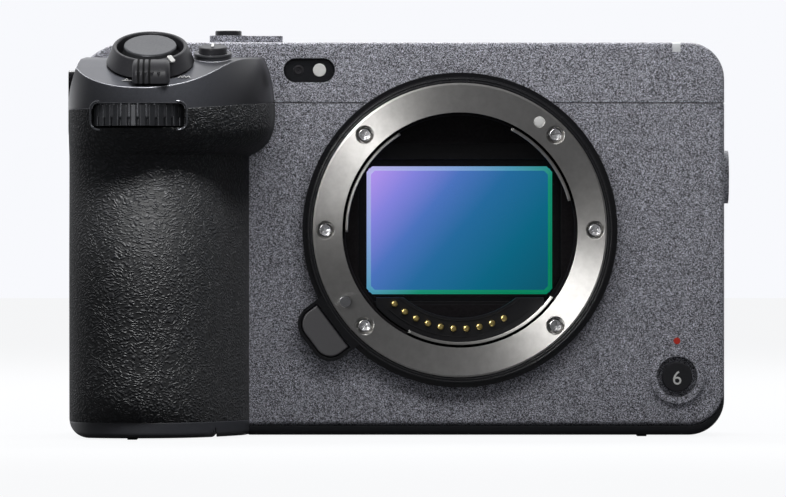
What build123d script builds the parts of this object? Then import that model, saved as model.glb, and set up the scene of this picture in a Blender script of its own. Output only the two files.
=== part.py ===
from build123d import *
import os
from math import cos, radians, sin, tan

# Sizes in millimetres. The origin is the centre of the lens mount's flange face.
# The lens looks along -Y, +X is on the right of someone who faces the lens, and +Z is up.

# Casing
body_left = -76.2
body_right = 51.8
body_top = 36.8
body_bottom = -40.1
front_face = 4.0
rear_face = 41.0
side_wall = 1.6
front_wall = 1.8
rear_wall = 2.4
top_seam = 25.0
side_seam = 9.0
base_band = 1.8
corner_top_left = 11.5
corner_top_right = 7.2
corner_base = 7.0
front_round = 1.2
rear_round = 2.0
seam_width = 0.2
seam_depth = 0.3
foot_height = 0.3
foot_length = 7.0
foot_width = 1.8
foot_inset = 2.0
foot_right = 17.0
foot_left = 12.0

# Fits
running_gap = 0.05
button_gap = 0.15
cover_gap = 0.1
seat_gap = 0.05
pocket_gap = 0.3

# Grip
grip_edge = -41.3
wing_edge = -36.3
grip_band = 3.0
corner_grip = 4.7
skin = 1.2
seam_height = 23.2
seam_rise = 1.6
crest_front = -31.0
crest_height = 27.4
crest_slope = 25.0
shelf_front = -19.2
shelf_height = 33.9
shelf_round = 20.0
bevel_height = 25.3
bevel_run = 4.1
# Plan outlines of the grip: share of its width from the inner edge, share of its reach
palm_outline = [
    (0.0, 0.0), (0.11, 0.41), (0.28, 0.81), (0.48, 0.985), (0.71, 1.0), (0.91, 0.84), (0.99, 0.46),
]
wing_outline = [(0.0, 0.0), (0.02, 0.3), (0.24, 0.77), (0.45, 0.96), (0.69, 1.0), (0.91, 0.84), (0.99, 0.46)]
# Height, inner edge, furthest forward and outline of each level
palm_levels = [
    (body_bottom + grip_band, grip_edge, -24.8, palm_outline),
    (-27.0, grip_edge, -27.6, palm_outline),
    (-12.0, grip_edge, -29.3, palm_outline),
    (1.0, grip_edge, -27.6, palm_outline),
    (9.0, grip_edge, -24.8, palm_outline),
    (14.5, grip_edge, -25.4, palm_outline),
]
wing_levels = [
    (20.7, wing_edge, -29.6, wing_outline),
    (25.5, wing_edge, -31.0, wing_outline),
    (31.0, wing_edge - 1.0, -31.5, wing_outline),
    (37.0, wing_edge - 4.5, -32.0, wing_outline),
]

# Lens mount
mount_bore = 23.0
mount_outer = 28.75
mount_thick = 2.6
mount_lip = 1.3
tab_bore = 21.9
tab_front = 1.5
tab_root = 0.5
tab_spans = [(15, 63), (122, 181), (243, 324)]
screw_circle = 26.35
screw_angles = [0, 45, 135, 180, 225, 315]
screw_head = 1.35
screw_head_height = 0.9
screw_shank = 0.8
screw_length = 6.0
screw_sink = 1.8
screw_sink_depth = 1.25
dot_angle = 53.9
dot_circle = 26.2
dot_radius = 1.12
dot_depth = 0.3
trim_outer = 30.8
trim_front = 0.8
trim_step = 29.9
trim_step_depth = 0.7
trim_collar = 29.8
release_angle = 217.0
release_reach = 37.2
release_width = 12.0
release_round = 4.0
release_rim = 0.8
release_face = 1.1
release_travel = 1.2
release_start = 31.1
pin_circle = 26.4
pin_angle = 212.0
pin_radius = 1.1
pin_proud = 1.0
pin_length = 6.5

# Throat and contacts
throat_radius = 23.6
boss_radius = 28.7
baffle_front = 3.0
baffle_wall = 1.1
baffle_plate = 1.0
mask_circle = 21.9
mask_half_width = 19.9
mask_top = 17.0
mask_bottom = -14.6
contact_top = -13.2
contact_half_width = 16.4
contact_inner = 17.2
contact_outer = 22.2
contact_count = 10
contact_first = 228.4
contact_pitch = 7.57
contact_circle = 19.28
contact_radius = 0.62
contact_proud = 0.8

# Chassis, shutter and sensor
chassis_front = 9.2
chassis_thick = 2.0
chassis_left = -46.0
chassis_right = 48.0
chassis_half_height = 22.0
window_half_width = 21.0
window_half_height = 17.5
chassis_floor = 2.0
floor_half_width = 38.5
post_inset = 1.0
shutter_thick = 2.6
shutter_half_width = 27.0
shutter_half_height = 29.6
shutter_wall = 0.5
shutter_rim = 0.7
blade_thick = 0.12
blade_pitch = 0.4
blade_half_width = 23.0
blade_height = 14.6
gate_half_width = 20.4
gate_half_height = 14.0
sensor_width = 36.6
sensor_height = 25.2
sensor_chamfer = 1.1
sensor_bevel = 0.45
glass_front = 15.2
glass_thick = 1.2
package_width = 42.0
package_height = 31.0
package_thick = 2.4
stage_thick = 1.5
stage_half_width = 33.0
stage_half_height = 20.0
stage_post_x = 30.0
stage_post_z = 17.0
stage_post = 2.0

# Electronics
board_front = 27.0
board_thick = 1.4
board_left = -44.0
board_right = 48.5
board_top = 22.0
board_bottom = -34.0
board_post_z = 30.0
board_post_top = 19.0
board_post = 2.2
fan_inboard = 21.0
fan_height = -10.0
fan_radius = 11.5
fan_hub = 4.0
fan_blades = 11
fan_blade = 0.7
fan_shaft = 1.0
fan_depth = 5.4
duct_radius = 13.6
duct_wall = 0.9
duct_intake = 8.5
vent_count = 10
vent_height = 1.3
vent_pitch = 2.7
vent_length = 7.0
intake_count = 10
intake_pitch = 2.8

# Battery and doors
battery_width = 22.7
battery_length = 38.7
battery_height = 51.7
bay_side = 3.0
bay_wall = 1.0
cage_depth = 10.0
cage_width = 24.0
cage_bottom = -25.0
cage_height = 36.0
card_slot = 2.6
card_height = 24.4
card_pitch = 4.6
battery_door_margin = 1.6
hinge_pin = 0.45
hinge_pin_reach = 1.0
panel_corner = 1.2
card_door_front = 23.0
card_door_inset = 2.6
latch_length = 7.0
latch_width = 9.0
latch_depth = 0.8
latch_travel = 2.5
latch_inset = 4.0
port_front = 11.0
port_length = 15.5
port_rows = [("audio_cover", -7.0, 10.2), ("hdmi_cover", -19.1, 9.5), ("usb_cover", -31.2, 9.5)]
port_depth = 8.0
jack_radius = 1.75
jack_pitch = 8.0

# Screen
screen_gap = 7.6
screen_height = 52.5
screen_thick = 5.5
screen_bottom = -29.0
screen_recess = 0.7
screen_corner = 2.5
glass_margin = 3.0
display_thick = 0.8
hinge_inset = 2.9
hinge_radius = 2.6
hinge_height = 30.0
hinge_ear = 2.6
hinge_rod = 1.0

# Sockets, shoe and lugs
socket_bore = 3.2
socket_outer = 4.6
socket_depth = 7.0
socket_bore_depth = 5.6
tripod_y = 22.0
top_sockets = [(-27.0, 13.0), (38.0, 13.0), (38.0, 33.0)]
side_socket_right_y = 16.0
side_socket_left_y = 19.0
side_socket_right_z = 10.5
side_socket_left_z = 19.9
side_boss = 5.2
side_boss_proud = 1.2
shoe_half_width = 10.9
shoe_stop = 1.2
shoe_slot_half = 9.35
shoe_throat_half = 6.3
shoe_front = 20.0
shoe_floor = 0.9
shoe_slot = 2.1
shoe_lip = 0.9
lug_height = 12.6
lug_bottom = 18.7
lug_thick = 1.3
lug_proud = 0.5
lug_length = 7.5
lug_left_y = 5.0
lug_right_y = 24.0
lug_slot = 2.4

# Controls
dial_inboard = 14.3
dial_y = -20.8
dial_low = 19.9
dial_thick = 4.0
dial_radius = 9.8
dial_teeth = 34
dial_axle = 1.6
dial_window_half = 8.9
dial_room = 0.35
lever_inboard = 16.4
lever_y = -21.2
lever_z = 32.2
lever_radius = 8.45
lever_top = 7.15
lever_height = 3.5
lever_well = 6.4
lever_tab_drop = 0.8
lever_lip = 0.3
lever_lift = 0.25
lever_tab_width = 5.0
lever_tab_reach = 10.6
lever_stem = 3.0
lever_stem_depth = 3.2
shutter_radius = 5.1
shutter_cap = 1.6
shutter_travel = 0.9
shutter_stem = 1.5
custom_inboard = 28.3
custom_y = -16.4
custom_z = 33.0
custom_tilt = 12.0
custom_collar = 3.6
custom_collar_height = 1.2
custom_radius = 2.7
custom_height = 1.3
button_travel = 0.5
power_inboard = 30.6
power_y = 17.5
power_hub = 3.7
power_hub_height = 1.6
power_arm_reach = 10.7
power_arm_taper = 0.6
power_arm_width = 3.4
power_stem = 2.6
record_cap = 2.6
record_cap_height = 1.0
record_stem = 1.2
record_travel = 0.6
front_record_x = 9.3
front_record_z = 11.4
record_boss = 5.3
record_boss_proud = 1.0
record_recess = 4.0
record_button = 2.95
rear_dial_inboard = 16.2
rear_dial_radius = 10.0
rear_dial_proud = 2.2
rear_dial_low = 27.4
rear_dial_thick = 4.0
rear_dial_teeth = 34
rear_dial_axle = 1.5
wheel_inboard = 19.7
wheel_z = -15.0
wheel_outer = 11.3
wheel_inner = 5.5
wheel_proud = 1.8
wheel_floor = 1.6
wheel_button_radius = 5.3
rear_button_proud = 1.0
button_column = 36.0
outer_column = 9.5
button_low_z = -32.0
function_z = 1.0
menu_inboard = 12.0
menu_rise = 5.6
menu_radius = 2.6
small_radius = 2.9
joystick_inboard = 30.2
joystick_z = 14.0
joystick_radius = 3.4
joystick_room = 4.2
joystick_pivot = 1.0
joystick_barrel = 3.0
joystick_stem = 0.9
joystick_proud = 3.4
joystick_cap = 1.7
rest_inboard = 2.0
rest_width = 15.0
rest_bottom = -2.0
rest_height = 25.0
rest_corner = 5.0
rest_proud = 12.4
rest_taper = 18.0
pill_x = -29.5
pill_z = 31.3
pill_width = 10.1
pill_height = 4.75
pill_depth = 1.0
tally_inset = 8.6
tally_width = 1.6
tally_drop = 1.9
tally_back = 3.0
tally_thick = 1.0

# Places worked out from the sizes above
cavity_front = front_face + front_wall
cavity_rear = rear_face - rear_wall
base_top = body_bottom + base_band
cavity_top = body_top - side_wall
bay_left = body_left + bay_side
battery_left = bay_left + pocket_gap
battery_right = battery_left + battery_width
bay_right = battery_right + pocket_gap
bay_back = cavity_rear - cage_depth - bay_wall
battery_back = bay_back - pocket_gap
battery_front = battery_back - battery_length
bay_front = battery_front - pocket_gap
battery_bottom = base_top + pocket_gap
battery_top = battery_bottom + battery_height
bay_top = battery_top + pocket_gap
chassis_back = chassis_front + chassis_thick
board_post_x = floor_half_width - post_inset
shutter_back = chassis_back + shutter_thick
glass_back = glass_front + glass_thick
package_back = glass_back + package_thick
board_back = board_front + board_thick
duct_front = board_back
duct_back = cavity_rear
fan_x = body_right - side_wall - fan_inboard
dial_x = body_left + dial_inboard
lever_x = body_left + lever_inboard
custom_x = body_left + custom_inboard
power_x = body_left + power_inboard
record_x = body_right - front_record_x
record_z = body_bottom + front_record_z
rear_dial_x = body_left + rear_dial_inboard
rear_dial_y = rear_face + rear_dial_proud - rear_dial_radius
wheel_x = body_left + wheel_inboard
joystick_x = body_left + joystick_inboard
hinge_x = body_right - hinge_inset
hinge_y = rear_face - screen_recess + seat_gap + screen_thick / 2
screen_right = hinge_x - hinge_radius - cover_gap
screen_left = body_left + button_column + screen_gap
screen_front = hinge_y - screen_thick / 2
screen_back = hinge_y + screen_thick / 2
screen_middle = screen_bottom + screen_height / 2
shoe_top = body_top + 0.15
shoe_seat = shoe_top - shoe_lip - shoe_slot - shoe_floor
port_panel = side_wall / 2
release_depth = cavity_front - release_travel


def block(x0, x1, y0, y1, z0, z1):
    """Block between two corners."""
    return Pos((x0 + x1) / 2, (y0 + y1) / 2, (z0 + z1) / 2) * Box(x1 - x0, y1 - y0, z1 - z0)


def rod(start, direction, radius, length):
    """Round rod from a point along a direction."""
    upright = (Align.CENTER, Align.CENTER, Align.MIN)
    return Plane(origin=start, z_dir=direction) * Cylinder(radius, length, align=upright)


def rod_y(x, z, radius, y0, y1):
    """Round rod along the lens axis."""
    return rod((x, y0, z), (0, 1, 0), radius, y1 - y0)


def rod_z(x, y, radius, z0, z1):
    """Upright round rod."""
    return rod((x, y, z0), (0, 0, 1), radius, z1 - z0)


def ring_y(outer, inner, y0, y1):
    """Ring about the lens axis."""
    return rod_y(0, 0, outer, y0, y1) - rod_y(0, 0, inner, y0 - 1, y1 + 1)


def on_circle(radius, angle):
    """X and Z of a point on a circle about the lens axis, seen from the front."""
    return radius * cos(radians(angle)), radius * sin(radians(angle))


def front_prism(face, y0, y1):
    """Front-view face, in X and Z, as a prism between two depths."""
    return extrude(Plane.XZ.offset(-y1) * face, amount=y1 - y0)


def body_outline(bottom, inset, low_round):
    """Front outline of the casing, drawn in by an inset."""
    left = body_left + inset
    right = body_right - inset
    top = body_top - inset
    corners = [(left, bottom), (right, bottom), (right, top), (left, top)]
    rounds = [corner_grip, low_round, corner_top_right - inset, corner_top_left - inset]
    return make_face(FilletPolyline(*corners, radius=rounds, close=True))


def casing_form(bottom):
    """Outer form of the casing without the grip."""
    form = front_prism(body_outline(bottom, 0, corner_base), front_face, rear_face)
    form = fillet(form.faces().sort_by(Axis.Y)[0].edges(), front_round)
    return fillet(form.faces().sort_by(Axis.Y)[-1].edges(), rear_round)


def casing_shell():
    """Walls of the covers, open at the bottom."""
    room = front_prism(body_outline(body_bottom - 10, side_wall, corner_grip), cavity_front, cavity_rear)
    return casing_form(base_top) - room


def seam_groove(lower, upper, near, far):
    """Thin groove round the casing where two covers meet."""
    inner = front_prism(body_outline(body_bottom - 10, seam_depth, corner_grip),
                        front_face + seam_depth, rear_face - seam_depth)
    band = block(body_left - 1, body_right + 1, near, far, lower, upper)
    return band - inner


def grip_face(level, inset):
    """Plan section of the grip at one level."""
    height, edge, reach, outline = level
    inner = edge - inset
    outer = body_left + inset
    depth = reach + inset - front_face
    points = [(inner + share * (outer - inner), front_face + forward * depth) for share, forward in outline]
    points.append((outer, side_seam))
    front = Spline(*points, tangents=[(-0.15, -1), (0, 1)])
    back = Line((outer, side_seam), (inner, side_seam))
    flank = Line((inner, side_seam), (inner, front_face))
    return Pos(0, 0, height) * Face(Wire([front.edge(), back.edge(), flank.edge()]))


def low_corner(inset):
    """Corner cut off the grip's lower outer edge."""
    centre_x = body_left + corner_grip
    centre_z = body_bottom + corner_grip
    corner = block(body_left - 1, centre_x, crest_front - 5, rear_face + 1, body_bottom - 1, centre_z)
    return corner - rod_y(centre_x, centre_z, corner_grip - inset, crest_front - 6, rear_face + 2)


def grip_form(inset):
    """Lofted body of the grip, trimmed behind the front cover's face."""
    palm = loft([grip_face(level, inset) for level in palm_levels])
    wing = loft([grip_face(level, inset) for level in palm_levels[-1:] + wing_levels])
    behind = block(grip_edge, wing_edge + 1, front_face, side_seam + 1, body_bottom, body_top + 10)
    return palm + wing - behind - low_corner(inset)


def above_grip_seam():
    """Everything above the seam between the leather and the shoulder, in front of the covers."""
    inner_height = seam_height + seam_rise
    corners = [(body_left - 5, seam_height), (dial_x + dial_window_half, seam_height),
               (wing_edge + 1, inner_height), (wing_edge + 1, body_top + 20), (body_left - 5, body_top + 20)]
    return front_prism(make_face(Polyline(*corners, close=True)), crest_front - 10, front_face)


def above_shelf():
    """Everything above the sloping shelf that carries the lever and its button."""
    rise = tan(radians(crest_slope))
    shelf_corner = crest_height + rise * (shelf_front - crest_front)
    far_front = crest_front - 20
    corners = [(far_front, crest_height + rise * (far_front - crest_front)), (shelf_front, shelf_corner),
               (front_face + 1, shelf_height), (front_face + 1, body_top + 30), (far_front, body_top + 30)]
    face = make_face(FilletPolyline(*corners, radius=[0, shelf_round, 0, 0, 0], close=True))
    return extrude(Plane.YZ.offset(body_left - 5) * face, amount=wing_edge - body_left + 10)


def outside_bevel():
    """Wedge cut from the shoulder's outer side."""
    top = body_top + 10
    run = bevel_run * (top - bevel_height) / (body_top - bevel_height)
    beyond = body_left - 5
    corners = [(body_left, bevel_height), (body_left + run, top), (beyond, top), (beyond, bevel_height)]
    return front_prism(make_face(Polyline(*corners, close=True)), crest_front - 10, front_face + 1)


def lever_frame():
    """Frame of the zoom lever: its Z axis is the tilted axis of the lever and the shutter button."""
    lean = radians(crest_slope)
    return Plane(origin=(lever_x, lever_y, lever_z), x_dir=(1, 0, 0), z_dir=(0, -sin(lean), cos(lean)))


def custom_frame():
    """Frame of the small button beside the lever."""
    lean = radians(custom_tilt)
    return Plane(origin=(custom_x, custom_y, custom_z), x_dir=(1, 0, 0), z_dir=(0, -sin(lean), cos(lean)))


def frame_rod(frame, radius, low, high):
    """Round rod on a frame's Z axis between two heights."""
    return frame * (Pos(0, 0, (low + high) / 2) * Cylinder(radius, high - low))


def without_dial_room(form):
    """A grip piece with the room of the front dial, its window and its axle cut out."""
    low = dial_low - dial_room
    high = dial_low + dial_thick + dial_room
    pocket = rod_z(dial_x, dial_y, dial_radius + dial_room, low, high)
    window = block(dial_x - dial_window_half, dial_x + dial_window_half, crest_front - 5, dial_y, low, high)
    window = fillet(window.edges().filter_by(Axis.Y), 1.2)
    axle = rod_z(dial_x, dial_y, dial_axle + running_gap, low - 1.2, high + 1.2)
    for cutter in (pocket, window, axle):
        form -= cutter
    return form


def lug_plate(x0, y0):
    """Strap lug: upright plate with a slot for the strap."""
    plate = block(x0, x0 + lug_thick, y0, y0 + lug_length, lug_bottom, lug_bottom + lug_height)
    plate = fillet(plate.edges().filter_by(Axis.X), 1.5)
    middle = y0 + lug_length / 2
    slot = block(x0 - 1, x0 + lug_thick + 1, middle - lug_slot / 2, middle + lug_slot / 2,
                 lug_bottom + 2.5, lug_bottom + lug_height - 2.5)
    return plate, plate - fillet(slot.edges().filter_by(Axis.X), 1.0)


def strap_lugs():
    """The two lugs and the blocks that their seats are cut with."""
    left_seat, left = lug_plate(body_left - lug_proud, lug_left_y)
    right_seat, right = lug_plate(body_right + lug_proud - lug_thick, lug_right_y)
    return left_seat + right_seat, left + right


def socket_frames():
    """Origin and inward direction of each tripod-thread socket."""
    frames = [((0, tripod_y, body_bottom), (0, 0, 1))]
    frames += [((x, y, body_top), (0, 0, -1)) for x, y in top_sockets]
    frames.append(((body_right + side_boss_proud, side_socket_right_y, side_socket_right_z), (-1, 0, 0)))
    frames.append(((body_left - lug_proud, side_socket_left_y, side_socket_left_z), (1, 0, 0)))
    return frames


def socket_seats():
    """Holes that the sockets are pressed into."""
    return Part() + [rod(start, inward, socket_outer, socket_depth) for start, inward in socket_frames()]


def screw_sockets():
    """Six threaded inserts, drawn with plain bores at the thread's outer diameter."""
    inserts = []
    for start, inward in socket_frames():
        insert = rod(start, inward, socket_outer, socket_depth)
        insert -= rod(start, inward, socket_bore, socket_bore_depth)
        inserts.append(insert)
    return Part() + inserts


def hinged_panel(frame, length, width, thick):
    """Flat cover with a round hinge edge and end pins, hinged on the frame's Y axis."""
    plate = Pos(length / 2, 0, 0) * Box(length, width, thick)
    plate = fillet(plate.edges().filter_by(Axis.Z).group_by(Axis.X)[-1], panel_corner)
    edge = Rot(90, 0, 0) * Cylinder(thick / 2, width)
    pins = Rot(90, 0, 0) * Cylinder(hinge_pin, width + 2 * hinge_pin_reach)
    return frame * (plate + edge + pins)


def panel_opening(frame, length, width, thick):
    """Room for a hinged cover, its gap and its pins."""
    near = -(thick / 2 + cover_gap)
    far = length + cover_gap
    depth = thick + seat_gap
    room = Pos((near + far) / 2, 0, depth / 2) * Box(far - near, width + 2 * cover_gap, depth + thick)
    pins = Rot(90, 0, 0) * Cylinder(hinge_pin + running_gap, width + 2 * hinge_pin_reach + 2 * cover_gap)
    return frame * (room + pins)


def battery_door_place():
    """Hinge frame, length, width and thickness of the battery door."""
    hinge = bay_right + battery_door_margin
    middle = (bay_front + bay_back) / 2
    frame = Plane(origin=(hinge, middle, body_bottom + base_band / 2), x_dir=(-1, 0, 0), z_dir=(0, 0, -1))
    return frame, hinge - bay_left + 0.8, bay_back - bay_front + 2 * battery_door_margin, base_band


def card_door_place():
    """Hinge frame, length, width and thickness of the card door."""
    hinge = cavity_rear - card_door_inset / 2
    middle = cage_bottom + cage_height / 2
    frame = Plane(origin=(body_left + side_wall / 2, hinge, middle), x_dir=(0, -1, 0), z_dir=(-1, 0, 0))
    return frame, hinge - card_door_front, cage_height + card_door_inset, side_wall


def port_cover_place(bottom, height):
    """Hinge frame, length, width and thickness of one port cover."""
    frame = Plane(origin=(body_right - side_wall / 2, port_front + port_panel, bottom + height / 2),
                  x_dir=(0, 1, 0), z_dir=(1, 0, 0))
    return frame, port_length, height, side_wall


def release_tongue(start, reach, width, corner, y0, y1):
    """Rounded tongue that points away from the lens axis at the release's angle."""
    tongue = block(start, reach, y0, y1, -width / 2, width / 2)
    tongue = fillet(tongue.edges().filter_by(Axis.Y).group_by(Axis.X)[-1], corner)
    return Rot(0, -release_angle, 0) * tongue


def pill(width, height, y0, y1):
    """Round-ended pill shape between two depths."""
    shape = front_prism(SlotOverall(width, height), y0, y1)
    return Pos(pill_x, 0, pill_z) * shape


def tally_bars():
    """Bar that wraps from the front face over the top edge."""
    x0 = body_right - tally_inset - tally_width
    front = block(x0, x0 + tally_width, front_face, front_face + tally_thick, body_top - tally_drop, body_top)
    over = block(x0, x0 + tally_width, front_face, front_face + tally_back, body_top - tally_thick, body_top)
    return front + over


def shoe_recess():
    """Recess in the top cover for the accessory shoe, open to the rear."""
    return block(-shoe_half_width, shoe_half_width, shoe_front, rear_face + 1, shoe_seat, body_top + 1)


def rear_dial_room():
    """Slot and room for the rear dial."""
    low = rear_dial_low - dial_room
    high = rear_dial_low + rear_dial_thick + dial_room
    return rod_z(rear_dial_x, rear_dial_y, rear_dial_radius + dial_room, low, high)


def rear_buttons():
    """Name, X, Z and radius of each small round button on the back."""
    return [
        ("menu_button", body_right - menu_inboard, top_seam + menu_rise, menu_radius),
        ("function_button", body_left + button_column, function_z, small_radius),
        ("playback_button", body_left + button_column, button_low_z, small_radius),
        ("delete_button", body_left + outer_column, button_low_z, small_radius),
    ]


def button_wells():
    """Wells for the wheel, the joystick and the small buttons on the back."""
    floor = cavity_rear + wheel_floor / 2
    wells = [rod_y(wheel_x, wheel_z, wheel_outer + button_gap, floor, rear_face + 1)]
    wells.append(rod_y(joystick_x, joystick_z, joystick_room, floor, rear_face + 1))
    for name, x, z, radius in rear_buttons():
        wells.append(rod_y(x, z, radius + button_gap, floor, rear_face + 1))
    return Part() + wells


def front_cover():
    """Front shell with the mount opening and the raised seat of the record button."""
    region = block(grip_edge, body_right + 1, front_face - 1, side_seam, base_top - 1, top_seam)
    cover = casing_shell() & region
    cover -= seam_groove(top_seam - seam_width, top_seam + 1, front_face - 1, rear_face)
    cover += rod_y(record_x, record_z, record_boss, front_face - record_boss_proud, front_face + 0.5)
    cover -= rod_y(record_x, record_z, record_recess, front_face - 5, cavity_front - 0.6)
    cover -= rod_y(0, 0, trim_collar + running_gap, front_face - 1, cavity_front + 1)
    cover -= release_tongue(release_start - button_gap, release_reach - release_rim + button_gap,
                            release_width - 2 * release_rim + 2 * button_gap, release_round - release_rim,
                            front_face - 1, cavity_front + 1)
    return cover


def top_cover():
    """Top shell with the shoe recess, the lamp and the windows cut in it."""
    region = block(body_left - 1, body_right + 1, front_face - 1, rear_face + 1, top_seam, body_top + 1)
    cover = casing_shell() & region
    boss_low = rear_dial_low + rear_dial_thick + dial_room
    cover += rod_z(rear_dial_x, rear_dial_y, rear_dial_axle + 1.5, boss_low, cavity_top + 0.5)
    shoe_pan = block(-shoe_half_width - 1, shoe_half_width + 1, shoe_front - 1, cavity_rear + 0.5,
                     shoe_seat - 1, cavity_top + 0.5)
    cover += shoe_pan
    cover -= shoe_recess()
    cover -= rear_dial_room()
    cover -= rod_z(rear_dial_x, rear_dial_y, rear_dial_axle + running_gap, boss_low - 1, cavity_top - 0.2)
    cover -= pill(pill_width, pill_height, front_face - 1, front_face + pill_depth)
    cover -= tally_bars()
    cover -= rod_z(power_x, power_y, power_stem + running_gap, cavity_top - 1, body_top + 1)
    cover -= socket_seats()
    cover -= strap_lugs()[0]
    cover -= button_wells()
    cover -= rod_y(0, 0, trim_collar + running_gap, front_face - 1, cavity_front + 1)
    return cover


def vent_slots():
    """Row of slots where the cooling air leaves the side."""
    middle = (board_back + cavity_rear) / 2
    slots = []
    for index in range(vent_count):
        z = fan_height + (index - (vent_count - 1) / 2) * vent_pitch
        slots.append(block(body_right - side_wall - 1, body_right + 1, middle - vent_length / 2,
                           middle + vent_length / 2, z - vent_height / 2, z + vent_height / 2))
    return Part() + slots


def thumb_rest():
    """Tapered rest for the thumb on the back of the grip."""
    left = body_left + rest_inboard
    middle = Pos(left + rest_width / 2, rest_bottom + rest_height / 2)
    face = middle * RectangleRounded(rest_width, rest_height, rest_corner)
    start = cavity_rear + 0.8
    base = Plane(origin=(0, start, 0), x_dir=(1, 0, 0), z_dir=(0, -1, 0)) * face
    rest = extrude(base, amount=rear_face - start + rest_proud, dir=(0, 1, 0), taper=rest_taper)
    return fillet(rest.faces().sort_by(Axis.Y)[-1].edges(), 2.0)


def screen_room():
    """Shallow recess behind the screen and the hollow for its hinge barrel."""
    recess = block(screen_left - pocket_gap, body_right + 1, rear_face - screen_recess, rear_face + 1,
                   screen_bottom - pocket_gap, screen_bottom + screen_height + pocket_gap)
    low = screen_middle - hinge_height / 2 - cover_gap
    barrel = rod_z(hinge_x, hinge_y, hinge_radius + pocket_gap, low, low + hinge_height + 2 * cover_gap)
    return recess + barrel


def hinge_ears():
    """Two ears that hold the ends of the screen's hinge rod."""
    ears = []
    for side in (-1, 1):
        near = screen_middle + side * (hinge_height / 2 + cover_gap)
        far = near + side * hinge_ear
        ear = rod_z(hinge_x, hinge_y, hinge_radius, min(near, far), max(near, far))
        foot = block(hinge_x - hinge_radius, hinge_x + hinge_radius, cavity_rear + 0.8, hinge_y,
                     min(near, far), max(near, far))
        bore = rod_z(hinge_x, hinge_y, hinge_rod + running_gap, min(near, far) - 1, max(near, far) + 1)
        ears.append(ear + foot - bore)
    return Part() + ears


def rear_cover():
    """Rear shell with the doors, ports, vents, control wells and screen recess."""
    region = block(body_left - 1, body_right + 1, side_seam, rear_face + 1, base_top - 1, top_seam)
    cover = casing_shell() & region
    cover -= seam_groove(top_seam - seam_width, top_seam + 1, side_seam - 1, rear_face + 1)
    cover -= seam_groove(base_top - 2, top_seam + 1, side_seam - 1, side_seam + seam_width)
    cover += thumb_rest()
    boss = rod((body_right - side_wall, side_socket_right_y, side_socket_right_z), (1, 0, 0),
               side_boss, side_wall + side_boss_proud)
    cover += boss
    cover -= screen_room()
    cover += hinge_ears()
    cover -= panel_opening(*card_door_place())
    for name, bottom, height in port_rows:
        cover -= panel_opening(*port_cover_place(bottom, height))
    cover -= vent_slots()
    cover -= socket_seats()
    cover -= strap_lugs()[0]
    cover -= button_wells()
    return cover


def feet(x0, y0):
    """Low moulded foot under a base plate."""
    return block(x0, x0 + foot_width, y0, y0 + foot_length, body_bottom - foot_height, body_bottom + 0.3)


def base_region():
    """Casing band below the covers."""
    return casing_form(body_bottom) - front_prism(
        body_outline(base_top, 0, corner_base), front_face - 1, rear_face + 1)


def base_cover():
    """Base plate of the body, with its feet and the air intake."""
    plate = base_region() & block(grip_edge, body_right + 1, front_face - 1, rear_face + 1,
                                  body_bottom - 1, body_bottom + 20)
    plate -= rod_z(0, tripod_y, socket_outer, body_bottom - 1, base_top + 1)
    for index in range(intake_count):
        x = fan_x + (index - (intake_count - 1) / 2) * intake_pitch
        plate -= block(x - vent_height / 2, x + vent_height / 2, cavity_rear - vent_length - 1,
                       cavity_rear - 1, body_bottom - 1, base_top + 1)
    for foot_y in (front_face + foot_inset, rear_face - foot_inset - foot_length):
        plate += feet(body_right - foot_right, foot_y)
    return plate


def grip_base():
    """Lower band of the grip, round the battery door."""
    plan = Pos(0, 0, body_bottom - palm_levels[0][0]) * grip_face(palm_levels[0], 0)
    front = extrude(plan, amount=grip_band, dir=(0, 0, 1))
    under = front.faces().sort_by(Axis.Z)[0].edges()
    front = fillet(under.filter_by(lambda e: e.center().Y < front_face), 1.0)
    rear = base_region() & block(
        body_left - 1, grip_edge, side_seam, rear_face + 1, body_bottom - 1, body_bottom + 20)
    band = front + rear - low_corner(0)
    band -= block(bay_left, bay_right, bay_front, bay_back, body_bottom - 1, body_bottom + grip_band + 1)
    band -= panel_opening(*battery_door_place())
    door_front = bay_front - battery_door_margin
    for foot_y in (door_front - foot_inset - foot_length, rear_face - foot_inset - foot_length):
        band += feet(body_left + foot_left, foot_y)
    return band


def below_grip_seam():
    """Part of the grip that the leather and its frame share."""
    upper = block(body_left - 1, grip_edge, front_face, side_seam + 1, seam_height - 1, top_seam)
    box = block(body_left - 1, wing_edge + 1, crest_front - 5, side_seam, body_bottom + grip_band, top_seam)
    return (box - above_grip_seam() - block(body_left - 1, wing_edge + 1, front_face, side_seam + 1,
                                            seam_height - 1, top_seam)) + upper


def grip_skin():
    """Leather-grain covering of the grip."""
    cover = (grip_form(0) - grip_form(skin)) & below_grip_seam()
    cover = without_dial_room(cover)
    cover -= strap_lugs()[0]
    return cover.solids().sort_by(SortBy.VOLUME)[-1]


def grip_frame():
    """Moulding inside the grip, with the battery bay."""
    core = grip_form(skin) & below_grip_seam()
    left = bay_left - bay_wall
    rear = block(left, bay_right + bay_wall, side_seam, bay_back + bay_wall, base_top, bay_top + bay_wall)
    core += rear & front_prism(body_outline(base_top, 0, corner_base), side_seam - 1, rear_face)
    core -= block(bay_left, bay_right, bay_front, bay_back, body_bottom, bay_top)
    core = without_dial_room(core)
    core -= strap_lugs()[0]
    return core.solids().sort_by(SortBy.VOLUME)[-1]


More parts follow.
